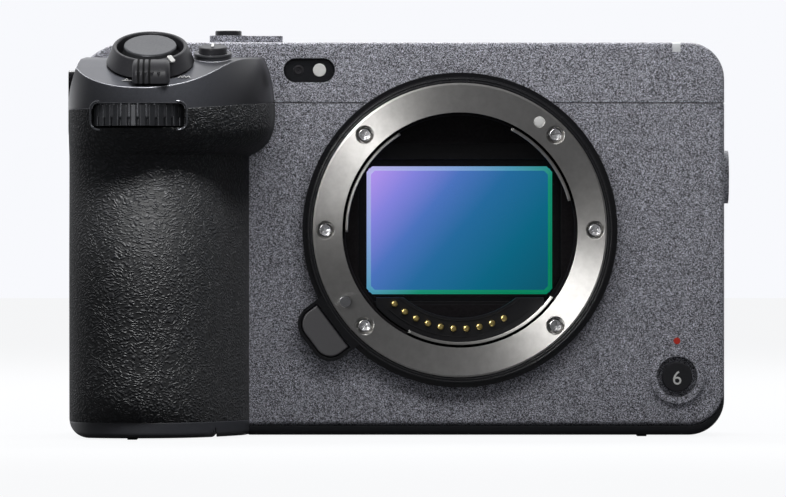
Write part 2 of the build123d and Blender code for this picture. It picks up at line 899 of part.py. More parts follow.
def grip_shoulder():
    """Black top of the grip, with the shelf, the crest and the wing beside the body."""
    form = grip_form(0) & above_grip_seam()
    form -= above_shelf()
    form -= outside_bevel()
    collar = frame_rod(custom_frame(), custom_collar, -2.0, custom_collar_height)
    form += collar
    lever = lever_frame()
    form += frame_rod(lever, lever_top, -2.5, 0)
    form -= frame_rod(lever, lever_stem + running_gap, -lever_stem_depth - 0.2, 1)
    form -= frame_rod(lever, shutter_stem + button_gap, -lever_stem_depth - 2.2, 1)
    form -= frame_rod(custom_frame(), custom_radius + button_gap, -0.9, custom_collar_height + 1)
    form = without_dial_room(form)
    form -= strap_lugs()[0]
    return form.solids().sort_by(SortBy.VOLUME)[-1]


def toothed_wheel(radius, teeth, thick):
    """Ribbed thumb wheel standing on its lower face."""
    rib = 0.75 * radius * radians(360 / teeth)
    outline = Circle(radius - 0.6) + PolarLocations(radius - 0.75, teeth) * RectangleRounded(1.5, rib, 0.3)
    return extrude(outline, amount=thick)


def front_dial():
    """Ribbed dial in the front of the grip, with its own axle."""
    wheel = toothed_wheel(dial_radius, dial_teeth, dial_thick)
    axle = Pos(0, 0, dial_thick / 2) * Cylinder(dial_axle, dial_thick + 2.6)
    return Pos(dial_x, dial_y, dial_low) * (wheel + axle)


def rear_dial():
    """Ribbed dial at the back of the top cover, with its axle in the boss above."""
    wheel = toothed_wheel(rear_dial_radius, rear_dial_teeth, rear_dial_thick)
    top = cavity_top - rear_dial_low - 0.4
    axle = Pos(0, 0, top / 2) * Cylinder(rear_dial_axle, top)
    return Pos(rear_dial_x, rear_dial_y, rear_dial_low) * (wheel + axle)


def zoom_lever():
    """Ring lever round the shutter button, with a ribbed tab at the front."""
    half = (lever_height - lever_lift) / 2
    skirt = Pos(0, 0, lever_lift + half) * Cone(lever_radius, lever_top, 2 * half)
    well = lever_height - shutter_cap - shutter_travel - button_gap
    skirt -= Pos(0, 0, well + 5) * Cylinder(lever_well, 10)
    skirt = fillet(skirt.edges().group_by(Axis.Z)[-1], lever_lip)
    tab_half = half - lever_tab_drop / 2
    tab = Pos(0, -(lever_tab_reach + lever_well) / 2, lever_lift + tab_half) * Box(
        lever_tab_width, lever_tab_reach - lever_well, 2 * tab_half)
    tab = fillet(tab.edges().filter_by(Axis.X).group_by(Axis.Y)[0], 1.0)
    ribs = Part()
    for index in range(4):
        x = (index - 1.5) * lever_tab_width / 4
        ribs += Pos(x, -lever_tab_reach, lever_lift + tab_half) * Cylinder(0.32, 2 * tab_half)
    middle = Pos(0, 0, (lever_lift - lever_stem_depth) / 2)
    stem = middle * Cylinder(lever_stem, lever_lift + lever_stem_depth)
    lever = skirt + tab + stem + ribs
    lever -= Cylinder(shutter_stem + button_gap, 20)
    return lever_frame() * lever


def shutter_button():
    """Domed release button in the middle of the lever."""
    top = lever_height + 0.2
    cap = Pos(0, 0, top - shutter_cap / 2) * Cylinder(shutter_radius, shutter_cap)
    cap = fillet(cap.edges().group_by(Axis.Z)[-1], 0.35)
    low = -lever_stem_depth - 1.0
    stem = Pos(0, 0, (top - shutter_cap + low) / 2) * Cylinder(shutter_stem, top - shutter_cap - low)
    return lever_frame() * (cap + stem)


def custom_button():
    """Small round button in its collar beside the lever."""
    low = -0.9 + button_travel + seat_gap
    high = custom_collar_height + custom_height
    cap = Pos(0, 0, (low + high) / 2) * Cylinder(custom_radius, high - low)
    return custom_frame() * fillet(cap.edges().group_by(Axis.Z)[-1], 0.25)


def power_lever():
    """Power switch: hub with a flat arm, turning on the top cover."""
    low = body_top + seat_gap
    high = body_top + power_hub_height
    hub = rod_z(power_x, power_y, power_hub, low, high)
    half = power_arm_width / 2
    tip = half - power_arm_taper
    corners = [(0, -half), (power_arm_reach, -tip), (power_arm_reach, tip), (0, half)]
    arm = make_face(Polyline(*corners, close=True))
    arm = extrude(Pos(power_x, power_y, low) * arm, amount=high - low - 0.05)
    arm = fillet(arm.edges().filter_by(Axis.Z).group_by(Axis.X)[-1], 0.8)
    stem = rod_z(power_x, power_y, power_stem, cavity_top - 0.6, low + 0.2)
    well = rod_z(power_x, power_y, record_cap + button_gap, high - 0.7, high + 1)
    bore = rod_z(power_x, power_y, record_stem + running_gap, cavity_top - 2, high)
    return hub + arm + stem - well - bore


def top_record_button():
    """Round button in the hub of the power switch."""
    high = body_top + power_hub_height
    cap = rod_z(power_x, power_y, record_cap, high - 0.7 + record_travel + seat_gap, high + record_cap_height)
    stem = rod_z(power_x, power_y, record_stem, cavity_top - 1.6, high)
    return fillet(cap.edges().group_by(Axis.Z)[-1], 0.25) + stem


def trim_ring():
    """Black ring round the mount, with the lobe that holds the release."""
    ring = rod_y(0, 0, trim_outer, trim_front, front_face)
    ring -= ring_y(trim_outer + 1, trim_step, trim_front - 1, trim_front + trim_step_depth)
    lobe = release_tongue(trim_outer - 6, release_reach, release_width, release_round, trim_front, front_face)
    collar = rod_y(0, 0, trim_collar, front_face, cavity_front)
    ring = ring + lobe + collar
    ring -= rod_y(0, 0, mount_outer + seat_gap, trim_front - 5, cavity_front + 5)
    ring -= release_tongue(release_start - button_gap, release_reach - release_rim + button_gap,
                           release_width - 2 * release_rim + 2 * button_gap, release_round - release_rim,
                           trim_front - 1, cavity_front + 1)
    return ring


def lens_release():
    """Release button that slides into the body."""
    button = release_tongue(release_start, release_reach - release_rim, release_width - 2 * release_rim,
                            release_round - release_rim, release_face, release_depth)
    return fillet(button.faces().sort_by(Axis.Y)[0].edges(), 0.3)


def lock_pin():
    """Spring pin that stops the lens from turning."""
    x, z = on_circle(pin_circle, pin_angle)
    return rod_y(x, z, pin_radius, -pin_proud, pin_length - pin_proud)


def mount_tab(start, stop):
    """One bayonet tab behind the lip of the mount ring."""
    root = throat_radius + tab_root
    middle = Pos((tab_bore + root) / 2, (tab_front + mount_thick) / 2)
    face = middle * Rectangle(root - tab_bore, mount_thick - tab_front)
    return Rot(0, -stop, 0) * revolve(face, Axis.Y, stop - start)


def mount_ring():
    """Steel bayonet flange with its tabs, screw seats, pin hole and index recess."""
    ring = ring_y(mount_outer, mount_bore, 0, mount_thick)
    outer_edge = ring.faces().sort_by(Axis.Y)[0].edges().sort_by(SortBy.LENGTH)[-1]
    ring = chamfer(outer_edge, 0.35)
    ring -= rod_y(0, 0, throat_radius, mount_lip, mount_thick + 1)
    for start, stop in tab_spans:
        ring += mount_tab(start, stop)
    for angle in screw_angles:
        x, z = on_circle(screw_circle, angle)
        ring -= rod_y(x, z, screw_sink, -1, screw_sink_depth)
        ring -= rod_y(x, z, screw_shank + running_gap, -1, mount_thick + 1)
    x, z = on_circle(pin_circle, pin_angle)
    ring -= rod_y(x, z, pin_radius + running_gap, -1, mount_thick + 1)
    x, z = on_circle(dot_circle, dot_angle)
    ring -= rod_y(x, z, dot_radius, -1, dot_depth)
    return ring


def mount_screws():
    """Six screws that hold the mount ring."""
    screws = []
    for angle in screw_angles:
        x, z = on_circle(screw_circle, angle)
        head = rod_y(x, z, screw_head, screw_sink_depth - screw_head_height, screw_sink_depth)
        shank = rod_y(x, z, screw_shank, screw_sink_depth, screw_sink_depth + screw_length)
        screws.append(head + shank)
    return Part() + screws


def contact_places():
    """X and Z of each contact pin."""
    angles = [contact_first + index * contact_pitch for index in range(contact_count)]
    return [on_circle(contact_circle, angle) for angle in angles]


def contact_block():
    """Moulded block that holds the contact pins below the throat."""
    back = chassis_front - baffle_plate
    form = ring_y(contact_outer, contact_inner, baffle_front, back)
    form &= block(
        -contact_half_width, contact_half_width, baffle_front - 1, back + 1, -contact_outer - 1, contact_top)
    for x, z in contact_places():
        form -= rod_y(x, z, contact_radius, baffle_front - 1, baffle_front + 2)
    return form


def contact_pins():
    """Ten gold contact pins."""
    pins = []
    for x, z in contact_places():
        pin = rod_y(x, z, contact_radius, baffle_front - contact_proud, baffle_front + 2)
        pins.append(fillet(pin.edges().group_by(Axis.Y)[0], 0.3))
    return Part() + pins


def light_baffle():
    """Dark liner of the throat with its rectangular mask."""
    tube = ring_y(throat_radius, throat_radius - baffle_wall, baffle_front, chassis_front)
    plate = rod_y(0, 0, throat_radius, chassis_front - baffle_plate, chassis_front)
    mask = block(-mask_half_width, mask_half_width, baffle_front, chassis_front + 1, mask_bottom, mask_top)
    mask &= rod_y(0, 0, mask_circle, baffle_front, chassis_front + 1)
    return tube + plate - mask


def chassis():
    """Metal frame that carries the mount, the shutter, the sensor stage and the board."""
    plate = block(
        chassis_left, chassis_right, chassis_front, chassis_back, -chassis_half_height, chassis_half_height)
    plate = fillet(plate.edges().filter_by(Axis.Y), 3.0)
    disc = rod_y(0, 0, boss_radius, mount_thick, chassis_back)
    frame = plate + disc
    floor_top = base_top + chassis_floor
    frame += block(-floor_half_width, floor_half_width, chassis_front, board_front, base_top, floor_top)
    frame += block(-floor_half_width, floor_half_width, chassis_front, chassis_back, base_top, 0)
    frame -= rod_y(0, 0, throat_radius, mount_thick - 1, chassis_front)
    frame -= block(-window_half_width, window_half_width, chassis_front - 1, chassis_back + 1,
                   -window_half_height, window_half_height)
    for x in (-stage_post_x, stage_post_x):
        for z in (-stage_post_z, stage_post_z):
            frame += rod_y(x, z, stage_post, chassis_back - 0.5, package_back - seat_gap)
    for x in (-board_post_x, board_post_x):
        for z in (-board_post_z, board_post_top):
            frame += rod_y(x, z, board_post, chassis_back - 0.5, board_front)
            frame += rod_y(x, z, board_post, cavity_front, chassis_front + 0.5)
    for angle in screw_angles:
        x, z = on_circle(screw_circle, angle)
        frame -= rod_y(x, z, screw_shank, mount_thick - 1, screw_sink_depth + screw_length)
    x, z = on_circle(pin_circle, pin_angle)
    pin_end = pin_length - pin_proud + release_travel
    frame -= rod_y(x, z, pin_radius + running_gap, mount_thick - 1, pin_end + pocket_gap)
    frame -= rod_z(0, tripod_y, socket_outer, base_top - 1, floor_top + 1)
    return frame


def shutter_frame():
    """Tray of the focal-plane shutter, with its picture gate."""
    tray = block(-shutter_half_width, shutter_half_width, chassis_back, shutter_back,
                 -shutter_half_height, shutter_half_height)
    room_width = blade_half_width + pocket_gap
    room_height = shutter_half_height - shutter_rim
    tray -= block(
        -room_width, room_width, chassis_back + shutter_wall, shutter_back + 1, -room_height, room_height)
    gate_start = chassis_back - 1
    tray -= block(-gate_half_width, gate_half_width, gate_start, shutter_back, -gate_half_height, gate_half_height)
    return tray


def curtain_blade(layer, bottom):
    """One thin shutter blade in its own layer."""
    y0 = chassis_back + shutter_wall + button_gap + layer * blade_pitch
    return block(-blade_half_width, blade_half_width, y0, y0 + blade_thick, bottom, bottom + blade_height)


def sensor_glass():
    """Cover glass of the sensor, with cut corners and a bevel."""
    half_width = sensor_width / 2
    half_height = sensor_height / 2
    pane = block(-half_width, half_width, glass_front, glass_back, -half_height, half_height)
    pane = chamfer(pane.edges().filter_by(Axis.Y), sensor_chamfer)
    return chamfer(pane.faces().sort_by(Axis.Y)[0].edges(), sensor_bevel)


def image_sensor():
    """Ceramic package of the sensor."""
    half_width = package_width / 2
    half_height = package_height / 2
    package = block(-half_width, half_width, glass_back, package_back, -half_height, half_height)
    return fillet(package.edges().filter_by(Axis.Y), 0.8)


def sensor_stage():
    """Moving plate of the stabiliser, behind the sensor."""
    plate = block(-stage_half_width, stage_half_width, package_back, package_back + stage_thick,
                  -stage_half_height, stage_half_height)
    plate = fillet(plate.edges().filter_by(Axis.Y), 4.0)
    for x in (-stage_half_width + 6, stage_half_width - 6):
        plate -= rod_y(x, 0, 3.0, package_back - 1, package_back + stage_thick + 1)
    return plate


def main_board():
    """Circuit board on the chassis posts."""
    board = block(board_left, board_right, board_front, board_back, board_bottom, board_top)
    return fillet(board.edges().filter_by(Axis.Y), 2.0)


def cooling_duct():
    """Fan housing on the board, open to the vents in the side."""
    right = body_right - side_wall
    low = fan_height - duct_radius
    high = fan_height + duct_radius
    outer = rod_y(fan_x, fan_height, duct_radius, duct_front, duct_back)
    outer += block(fan_x, right, duct_front, duct_back, low, high)
    room = rod_y(fan_x, fan_height, duct_radius - duct_wall, duct_front + duct_wall, duct_back - duct_wall)
    room += block(
        fan_x, right + 1, duct_front + duct_wall, duct_back - duct_wall, low + duct_wall, high - duct_wall)
    housing = outer - room
    housing -= rod_y(fan_x, fan_height, duct_intake, duct_back - 2 * duct_wall, duct_back + 1)
    return housing + rod_y(fan_x, fan_height, fan_shaft, duct_front + 0.2, duct_front + fan_depth)


def fan_rotor():
    """Blower wheel on the stub shaft of its housing."""
    y0 = duct_front + duct_wall + 0.3
    y1 = y0 + fan_depth
    rotor = rod_y(0, 0, fan_hub, y0, y1)
    rotor += rod_y(0, 0, fan_radius, y0, y0 + 0.6)
    for index in range(fan_blades):
        blade = block(fan_hub - 0.3, fan_radius, y0, y1, -fan_blade / 2, fan_blade / 2)
        blade = Pos(0, 0, 1.2) * blade
        rotor += Rot(0, 360 / fan_blades * index, 0) * blade
    rotor -= rod_y(0, 0, fan_shaft + running_gap, y0 - 1, duct_front + fan_depth + 0.3)
    return Pos(fan_x, 0, fan_height) * rotor


def battery():
    """Rechargeable battery in the grip."""
    pack = block(battery_left, battery_right, battery_front, battery_back, battery_bottom, battery_top)
    return fillet(pack.edges().filter_by(Axis.Z), 2.0)


def latch_place():
    """Low X, high X, low Y and high Y of the latch on the battery door."""
    frame, length, width, thick = battery_door_place()
    far = frame.origin.X - length + latch_inset
    middle = frame.origin.Y
    return far, far + latch_length, middle - latch_width / 2, middle + latch_width / 2


def battery_door():
    """Door under the battery, with the recess of its latch."""
    x0, x1, y0, y1 = latch_place()
    door = hinged_panel(*battery_door_place()) - low_corner(0)
    return door - block(x0 - button_gap, x1 + latch_travel + button_gap, y0 - button_gap, y1 + button_gap,
                        body_bottom - 1, body_bottom + latch_depth)


def door_latch():
    """Sliding latch of the battery door."""
    x0, x1, y0, y1 = latch_place()
    plate = block(x0, x1, y0, y1, body_bottom + 0.1, body_bottom + latch_depth - seat_gap)
    for index in range(3):
        x = x0 + (index + 1.5) * latch_length / 5
        plate -= block(x - 0.2, x + 0.2, y0 + 1, y1 - 1, body_bottom, body_bottom + 0.3)
    return plate


def card_cage():
    """Holder of the two memory cards, open to the side."""
    left = body_left + side_wall + pocket_gap
    y0 = bay_back + bay_wall
    cage = block(left, left + cage_width, y0, cavity_rear, cage_bottom, cage_bottom + cage_height)
    middle_y = (y0 + cavity_rear) / 2
    middle_z = cage_bottom + cage_height / 2
    for side in (-0.5, 0.5):
        y = middle_y + side * card_pitch
        cage -= block(left - 1, left + cage_width - 2, y - card_slot / 2, y + card_slot / 2,
                      middle_z - card_height / 2, middle_z + card_height / 2)
    return cage


def port_sockets():
    """Row of sockets behind the side covers."""
    right = body_right - side_wall - 0.2
    left = right - port_depth
    y0 = port_front + 0.6
    bottom = min(low for name, low, height in port_rows)
    top = max(low + height for name, low, height in port_rows)
    sockets = block(left, right, y0, board_front, bottom, top)
    middle_y = port_front + port_length / 2 + 1
    for name, low, height in port_rows:
        z = low + height / 2
        if name == "audio_cover":
            for side in (-0.5, 0.5):
                mouth = (right + 1, middle_y + side * jack_pitch, z)
                sockets -= rod(mouth, (-1, 0, 0), jack_radius, port_depth - 1)
        elif name == "hdmi_cover":
            well = block(left + 2, right + 1, middle_y - 7.0, middle_y + 7.0, z - 2.2, z + 2.2)
            tongue = block(left + 1, right - 1, middle_y - 5.6, middle_y + 5.6, z - 0.7, z + 0.7)
            sockets = sockets - well + tongue
        else:
            well = block(left + 2, right + 1, middle_y - 4.5, middle_y + 4.5, z - 1.6, z + 1.6)
            well = fillet(well.edges().filter_by(Axis.X), 1.5)
            tongue = block(left + 1, right - 1, middle_y - 3.3, middle_y + 3.3, z - 0.35, z + 0.35)
            sockets = sockets - well + tongue
    return sockets


def sensor_window():
    """Gloss window over the front sensor and lamp."""
    return pill(pill_width, pill_height, front_face, front_face + pill_depth)


def tally_lamp():
    """Recording lamp on the top front edge."""
    return tally_bars() & casing_form(base_top)


def front_record_button():
    """Round record button in the front cover's raised seat."""
    front = front_face - record_boss_proud - 0.5
    button = rod_y(record_x, record_z, record_button, front, cavity_front - 0.6 - button_travel - seat_gap)
    return chamfer(button.edges().group_by(Axis.Y)[0], 0.2)


def control_wheel():
    """Ring wheel on the back, round its middle button."""
    floor = cavity_rear + wheel_floor / 2 + seat_gap
    wheel = rod_y(wheel_x, wheel_z, wheel_outer, floor, rear_face + wheel_proud)
    wheel -= rod_y(wheel_x, wheel_z, wheel_inner, floor - 1, rear_face + wheel_proud + 1)
    return chamfer(wheel.faces().sort_by(Axis.Y)[-1].edges(), 0.5)


def rear_button(x, z, radius, proud):
    """Round push button in a well on the back."""
    floor = cavity_rear + wheel_floor / 2 + button_travel + seat_gap
    cap = rod_y(x, z, radius, floor, rear_face + proud)
    return chamfer(cap.edges().group_by(Axis.Y)[-1], 0.25)


def joystick():
    """Small tilting stick on a pivot barrel in its well."""
    pivot_y = cavity_rear + wheel_floor / 2 + seat_gap + joystick_pivot
    end = rear_face + joystick_proud
    pivot = Pos(joystick_x, pivot_y, joystick_z) * Rot(0, 90, 0) * Cylinder(joystick_pivot, joystick_barrel)
    stem = rod_y(joystick_x, joystick_z, joystick_stem, pivot_y, end - 0.5)
    cap = rod_y(joystick_x, joystick_z, joystick_radius, end - joystick_cap, end)
    cap = chamfer(cap.edges().group_by(Axis.Y)[-1], 0.4)
    return pivot + stem + cap


def accessory_shoe():
    """Folded steel shoe in the top cover's recess."""
    shoe = block(-shoe_half_width, shoe_half_width, shoe_front, rear_face, shoe_seat, shoe_top)
    slot_low = shoe_seat + shoe_floor
    stop = shoe_front + shoe_stop
    shoe -= block(-shoe_slot_half, shoe_slot_half, stop, rear_face + 1, slot_low, slot_low + shoe_slot)
    return shoe - block(-shoe_throat_half, shoe_throat_half, stop, rear_face + 1, slot_low, shoe_top + 1)


def screen_hinge():
    """Barrel and rod that the screen swings on, with the arm that carries it."""
    low = screen_middle - hinge_height / 2
    barrel = rod_z(hinge_x, hinge_y, hinge_radius, low, low + hinge_height)
    rod_end = hinge_ear + cover_gap
    pin = rod_z(hinge_x, hinge_y, hinge_rod, low - rod_end, low + hinge_height + rod_end)
    arm = block(screen_right, hinge_x, hinge_y - 1.6, hinge_y + 1.6, low + 3, low + hinge_height - 3)
    return barrel + pin + arm


def screen_housing():
    """Screen shell, with the seat of its glass."""
    top = screen_bottom + screen_height
    shell = block(screen_left, screen_right, screen_front, screen_back, screen_bottom, top)
    shell = fillet(shell.edges().filter_by(Axis.Y), screen_corner)
    shell = fillet(shell.faces().sort_by(Axis.Y)[-1].edges(), 0.6)
    return shell - display_pane()


def display_pane():
    """Pane set into the screen's outer face."""
    left = screen_left + glass_margin
    low = screen_bottom + glass_margin
    high = screen_bottom + screen_height - glass_margin
    pane = block(left, screen_right - glass_margin, screen_back - display_thick, screen_back, low, high)
    return fillet(pane.edges().filter_by(Axis.Y), 1.0)


def build_nodes():
    """Every node of the camera by name."""
    nodes = {
        "front_cover": front_cover(),
        "top_cover": top_cover(),
        "rear_cover": rear_cover(),
        "base_cover": base_cover(),
        "grip_frame": grip_frame(),
        "grip_shoulder": grip_shoulder(),
        "grip_skin": grip_skin(),
        "grip_base": grip_base(),
        "trim_ring": trim_ring(),
        "mount_ring": mount_ring(),
        "mount_screws": mount_screws(),
        "lens_release": lens_release(),
        "lock_pin": lock_pin(),
        "light_baffle": light_baffle(),
        "contact_block": contact_block(),
        "contact_pins": contact_pins(),
        "chassis": chassis(),
        "shutter_frame": shutter_frame(),
        "front_curtain_lead": curtain_blade(0, -gate_half_height - blade_height),
        "front_curtain_follow": curtain_blade(1, -gate_half_height - blade_height),
        "rear_curtain_lead": curtain_blade(2, gate_half_height),
        "rear_curtain_follow": curtain_blade(3, gate_half_height),
        "sensor_stage": sensor_stage(),
        "image_sensor": image_sensor(),
        "sensor_glass": sensor_glass(),
        "main_board": main_board(),
        "cooling_duct": cooling_duct(),
        "fan_rotor": fan_rotor(),
        "battery": battery(),
        "battery_door": battery_door(),
        "door_latch": door_latch(),
        "card_cage": card_cage(),
        "card_door": hinged_panel(*card_door_place()),
        "port_sockets": port_sockets(),
        "front_record_button": front_record_button(),
        "shutter_button": shutter_button(),
        "zoom_lever": zoom_lever(),
        "front_dial": front_dial(),
        "custom_button": custom_button(),
        "power_lever": power_lever(),
        "top_record_button": top_record_button(),
        "rear_dial": rear_dial(),
        "accessory_shoe": accessory_shoe(),
        "strap_lugs": strap_lugs()[1],
        "screw_sockets": screw_sockets(),
        "tally_lamp": tally_lamp(),
        "sensor_window": sensor_window(),
        "screen_hinge": screen_hinge(),
        "screen_housing": screen_housing(),
        "screen_glass": display_pane(),
        "control_wheel": control_wheel(),
        "wheel_button": rear_button(wheel_x, wheel_z, wheel_button_radius, wheel_proud + 0.4),
        "joystick": joystick(),
    }
    for name, bottom, height in port_rows:
        nodes[name] = hinged_panel(*port_cover_place(bottom, height))
    for name, x, z, radius in rear_buttons():
        nodes[name] = rear_button(x, z, radius, rear_button_proud)
    return nodes


os.makedirs("parts", exist_ok=True)
for node_name, node_shape in build_nodes().items():
    export_step(node_shape, "parts/" + node_name + ".step")
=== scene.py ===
from math import atan2, cos, pi, radians, sin

import bmesh
import bpy
from mathutils import Matrix, Vector


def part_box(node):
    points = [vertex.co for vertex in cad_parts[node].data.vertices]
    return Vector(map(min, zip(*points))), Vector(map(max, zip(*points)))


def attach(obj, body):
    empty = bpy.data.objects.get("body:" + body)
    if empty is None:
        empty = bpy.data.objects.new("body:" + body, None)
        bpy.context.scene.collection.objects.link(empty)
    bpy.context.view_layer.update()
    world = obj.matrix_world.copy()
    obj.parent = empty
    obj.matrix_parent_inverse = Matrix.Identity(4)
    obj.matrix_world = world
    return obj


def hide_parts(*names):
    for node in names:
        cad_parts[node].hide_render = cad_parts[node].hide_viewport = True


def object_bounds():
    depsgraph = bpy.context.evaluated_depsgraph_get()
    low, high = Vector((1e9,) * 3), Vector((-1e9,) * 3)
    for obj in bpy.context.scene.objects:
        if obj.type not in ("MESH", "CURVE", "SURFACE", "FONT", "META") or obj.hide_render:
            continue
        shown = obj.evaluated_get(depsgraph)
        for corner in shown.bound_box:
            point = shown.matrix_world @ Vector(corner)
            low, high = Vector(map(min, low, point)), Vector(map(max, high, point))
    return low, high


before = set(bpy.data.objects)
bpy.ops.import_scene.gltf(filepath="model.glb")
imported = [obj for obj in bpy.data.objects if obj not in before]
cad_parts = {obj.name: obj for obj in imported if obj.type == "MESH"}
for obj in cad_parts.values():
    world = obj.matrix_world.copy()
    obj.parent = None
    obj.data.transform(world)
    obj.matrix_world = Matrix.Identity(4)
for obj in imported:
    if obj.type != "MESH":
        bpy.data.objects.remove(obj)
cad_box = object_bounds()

# Viewpoint. A long lens level with the mount, 1.5 m in front of the flange, as in the
# photograph. Sizes of pieces are in millimetres, and MM turns them into metres.
MM = 0.001
camera_place = Vector((-13.1, -1500.0, -3.6)) * MM
view = bpy.data.cameras.new("viewpoint")
view.sensor_width = 36.0
view.lens = 351.8
view.clip_start = 0.1
view.clip_end = 20.0
viewpoint = bpy.data.objects.new("viewpoint", view)
viewpoint.location = camera_place
viewpoint.rotation_euler = (pi / 2, 0, 0)
scene = bpy.context.scene
scene.collection.objects.link(viewpoint)
scene.camera = viewpoint
scene.view_settings.view_transform = "Standard"


# Studio light. A soft box close above the front and a wide one at the camera's side light the
# whole part. The last section keeps the other lamps to some pieces, or off them: one for the
# metal, one for the grip, a small one for details and two from behind.
def srgb(red, green, blue, alpha=1.0):
    """Colour read from a picture, in the linear values that shaders take."""
    linear = [c / 3294.6 if c <= 10.31 else ((c / 255 + 0.055) / 1.055) ** 2.4 for c in (red, green, blue)]
    return (*linear, alpha)


def add_node(tree, kind, sockets=None, **settings):
    """A node with its settings, and each named input linked or set."""
    node = tree.nodes.new(kind)
    for key, value in settings.items():
        setattr(node, key, value)
    for key, value in (sockets or {}).items():
        if isinstance(value, bpy.types.NodeSocket):
            tree.links.new(value, node.inputs[key])
        else:
            node.inputs[key].default_value = value
    return node


def reckon(tree, operation, *values, **settings):
    """Result of one sum or test on shader values."""
    sockets = dict(enumerate(values))
    return add_node(tree, "ShaderNodeMath", sockets, operation=operation, **settings).outputs[0]


def ranged(tree, value, start, stop, low=0.0, high=1.0, **settings):
    """Value carried over from one range to another, and held at its ends."""
    sockets = {0: value, 1: start, 2: stop, 3: low, 4: high}
    return add_node(tree, "ShaderNodeMapRange", sockets, **settings).outputs[0]


def mixed(tree, amount, first, second, **settings):
    """Colour between two colours."""
    sockets = {0: amount, 6: first, 7: second}
    return add_node(tree, "ShaderNodeMix", sockets, data_type="RGBA", **settings).outputs[2]


def blended(tree, amount, first, second):
    """Surface between two surfaces."""
    return add_node(tree, "ShaderNodeMixShader", {0: amount, 1: first, 2: second}).outputs[0]


def soft_box(name, place, target, width, height, power, glossy=True):
    """Area lamp that faces a point of the part; one that isn't glossy shows in no reflection."""
    lamp = bpy.data.lights.new(name, "AREA")
    lamp.shape = "RECTANGLE"
    lamp.size = width
    lamp.size_y = height
    lamp.energy = power
    holder = bpy.data.objects.new(name, lamp)
    holder.location = place
    holder.rotation_euler = (Vector(target) - Vector(place)).to_track_quat("-Z", "Y").to_euler()
    holder.visible_glossy = glossy
    scene.collection.objects.link(holder)
    return holder


soft_box("top_light", (-0.02, -0.11, 0.125), (0, 0.02, 0.0), 0.32, 0.06, 0.27, glossy=False)
soft_box("front_light", (0.05, -1.3, 0.1), (0, 0, 0), 1.0, 1.0, 1.2, glossy=False)
metal_light = soft_box("metal_light", (-1.02, -0.85, 0.71), (0, 0, 0), 0.9, 0.9, 44)
grip_light = soft_box("grip_light", (0.15, -0.35, 0.75), (-0.06, -0.03, 0), 0.2, 0.16, 20)
detail_light = soft_box("detail_light", (-0.3, -1.1, 0.3), (-0.06, 0, 0), 0.16, 0.16, 6.0)
back_light = soft_box("back_light", (-0.05, 0.6, 0.75), (0, 0, 0.03), 0.9, 0.3, 10)
shelf_light = soft_box("shelf_light", (-0.05, 0.6, 0.75), (0, 0, 0.03), 0.9, 0.3, 1.1)

pale = srgb(248, 249, 253)
ambient_level = 0.08
world = bpy.data.worlds.new("pale_studio")
scene.world = world
world.use_nodes = True
sky = world.node_tree
sky.nodes.clear()
ray = add_node(sky, "ShaderNodeLightPath").outputs
direction = add_node(sky, "ShaderNodeTexCoord")
heading = add_node(sky, "ShaderNodeSeparateXYZ", {0: direction.outputs["Generated"]}).outputs
behind = ranged(sky, heading["Y"], 0.0, 0.45, 0.1, 1.0)
above = ranged(sky, heading["Z"], 0.6, 0.95, 0.0, 0.3)
dome = reckon(sky, "ADD", behind, above, use_clamp=True)
seen = add_node(sky, "ShaderNodeBackground", {0: pale, 1: 1.0}).outputs[0]
mirrored = add_node(sky, "ShaderNodeBackground", {0: pale, 1: dome}).outputs[0]
ambient = add_node(sky, "ShaderNodeBackground", {0: (1, 1, 1, 1), 1: ambient_level}).outputs[0]
reflected = reckon(sky, "MAXIMUM", ray["Is Glossy Ray"], ray["Is Transmission Ray"])
lit = blended(sky, reflected, ambient, mirrored)
add_node(sky, "ShaderNodeOutputWorld", {0: blended(sky, ray["Is Camera Ray"], lit, seen)})


# Floor. A pale matt table top under the feet, which keeps a faint soft shadow of the part. It
# glows a little, so that it runs into the pale background.
def bare_material(name):
    """New material and its empty node tree."""
    material = bpy.data.materials.new(name)
    material.use_nodes = True
    material.node_tree.nodes.clear()
    return material, material.node_tree


floor_level = cad_box[0][2]
floor_half = 3.0
floor_back = 1.2
bm = bmesh.new()
bmesh.ops.create_grid(bm, x_segments=2, y_segments=2, size=floor_half)
bmesh.ops.translate(bm, verts=bm.verts, vec=(0, floor_back, floor_level))
floor_mesh = bpy.data.meshes.new("floor")
bm.to_mesh(floor_mesh)
bm.free()
floor = bpy.data.objects.new("floor", floor_mesh)
scene.collection.objects.link(floor)
pale_table, tree = bare_material("pale_table")
glow_share = 0.92
matt = add_node(tree, "ShaderNodeBsdfDiffuse", {0: srgb(246, 247, 251)}).outputs[0]
glow = add_node(tree, "ShaderNodeEmission", {0: (0.985, 0.99, 1, 1), 1: 1.0}).outputs[0]
plain = add_node(tree, "ShaderNodeBsdfDiffuse", {0: srgb(120, 121, 124)}).outputs[0]
ray = add_node(tree, "ShaderNodeLightPath").outputs
choice = blended(tree, ray["Is Camera Ray"], plain, blended(tree, glow_share, matt, glow))
add_node(tree, "ShaderNodeOutputMaterial", {0: choice})
floor_mesh.materials.append(pale_table)


# Shared surface effects. A rounded-edge effect that every hard finish uses, a fine grain for
# paint and mouldings, and a cell pattern for speckled paint.
def new_group(name, inputs, outputs):
    """Empty shader group with its named sockets, and its two end nodes."""
    group = bpy.data.node_groups.new(name, "ShaderNodeTree")
    for label, kind, value in inputs:
        made = group.interface.new_socket(label, in_out="INPUT", socket_type="NodeSocket" + kind)
        if value is not None:
            made.default_value = value
    for label, kind in outputs:
        group.interface.new_socket(label, in_out="OUTPUT", socket_type="NodeSocket" + kind)
    return group, group.nodes.new("NodeGroupInput"), group.nodes.new("NodeGroupOutput")


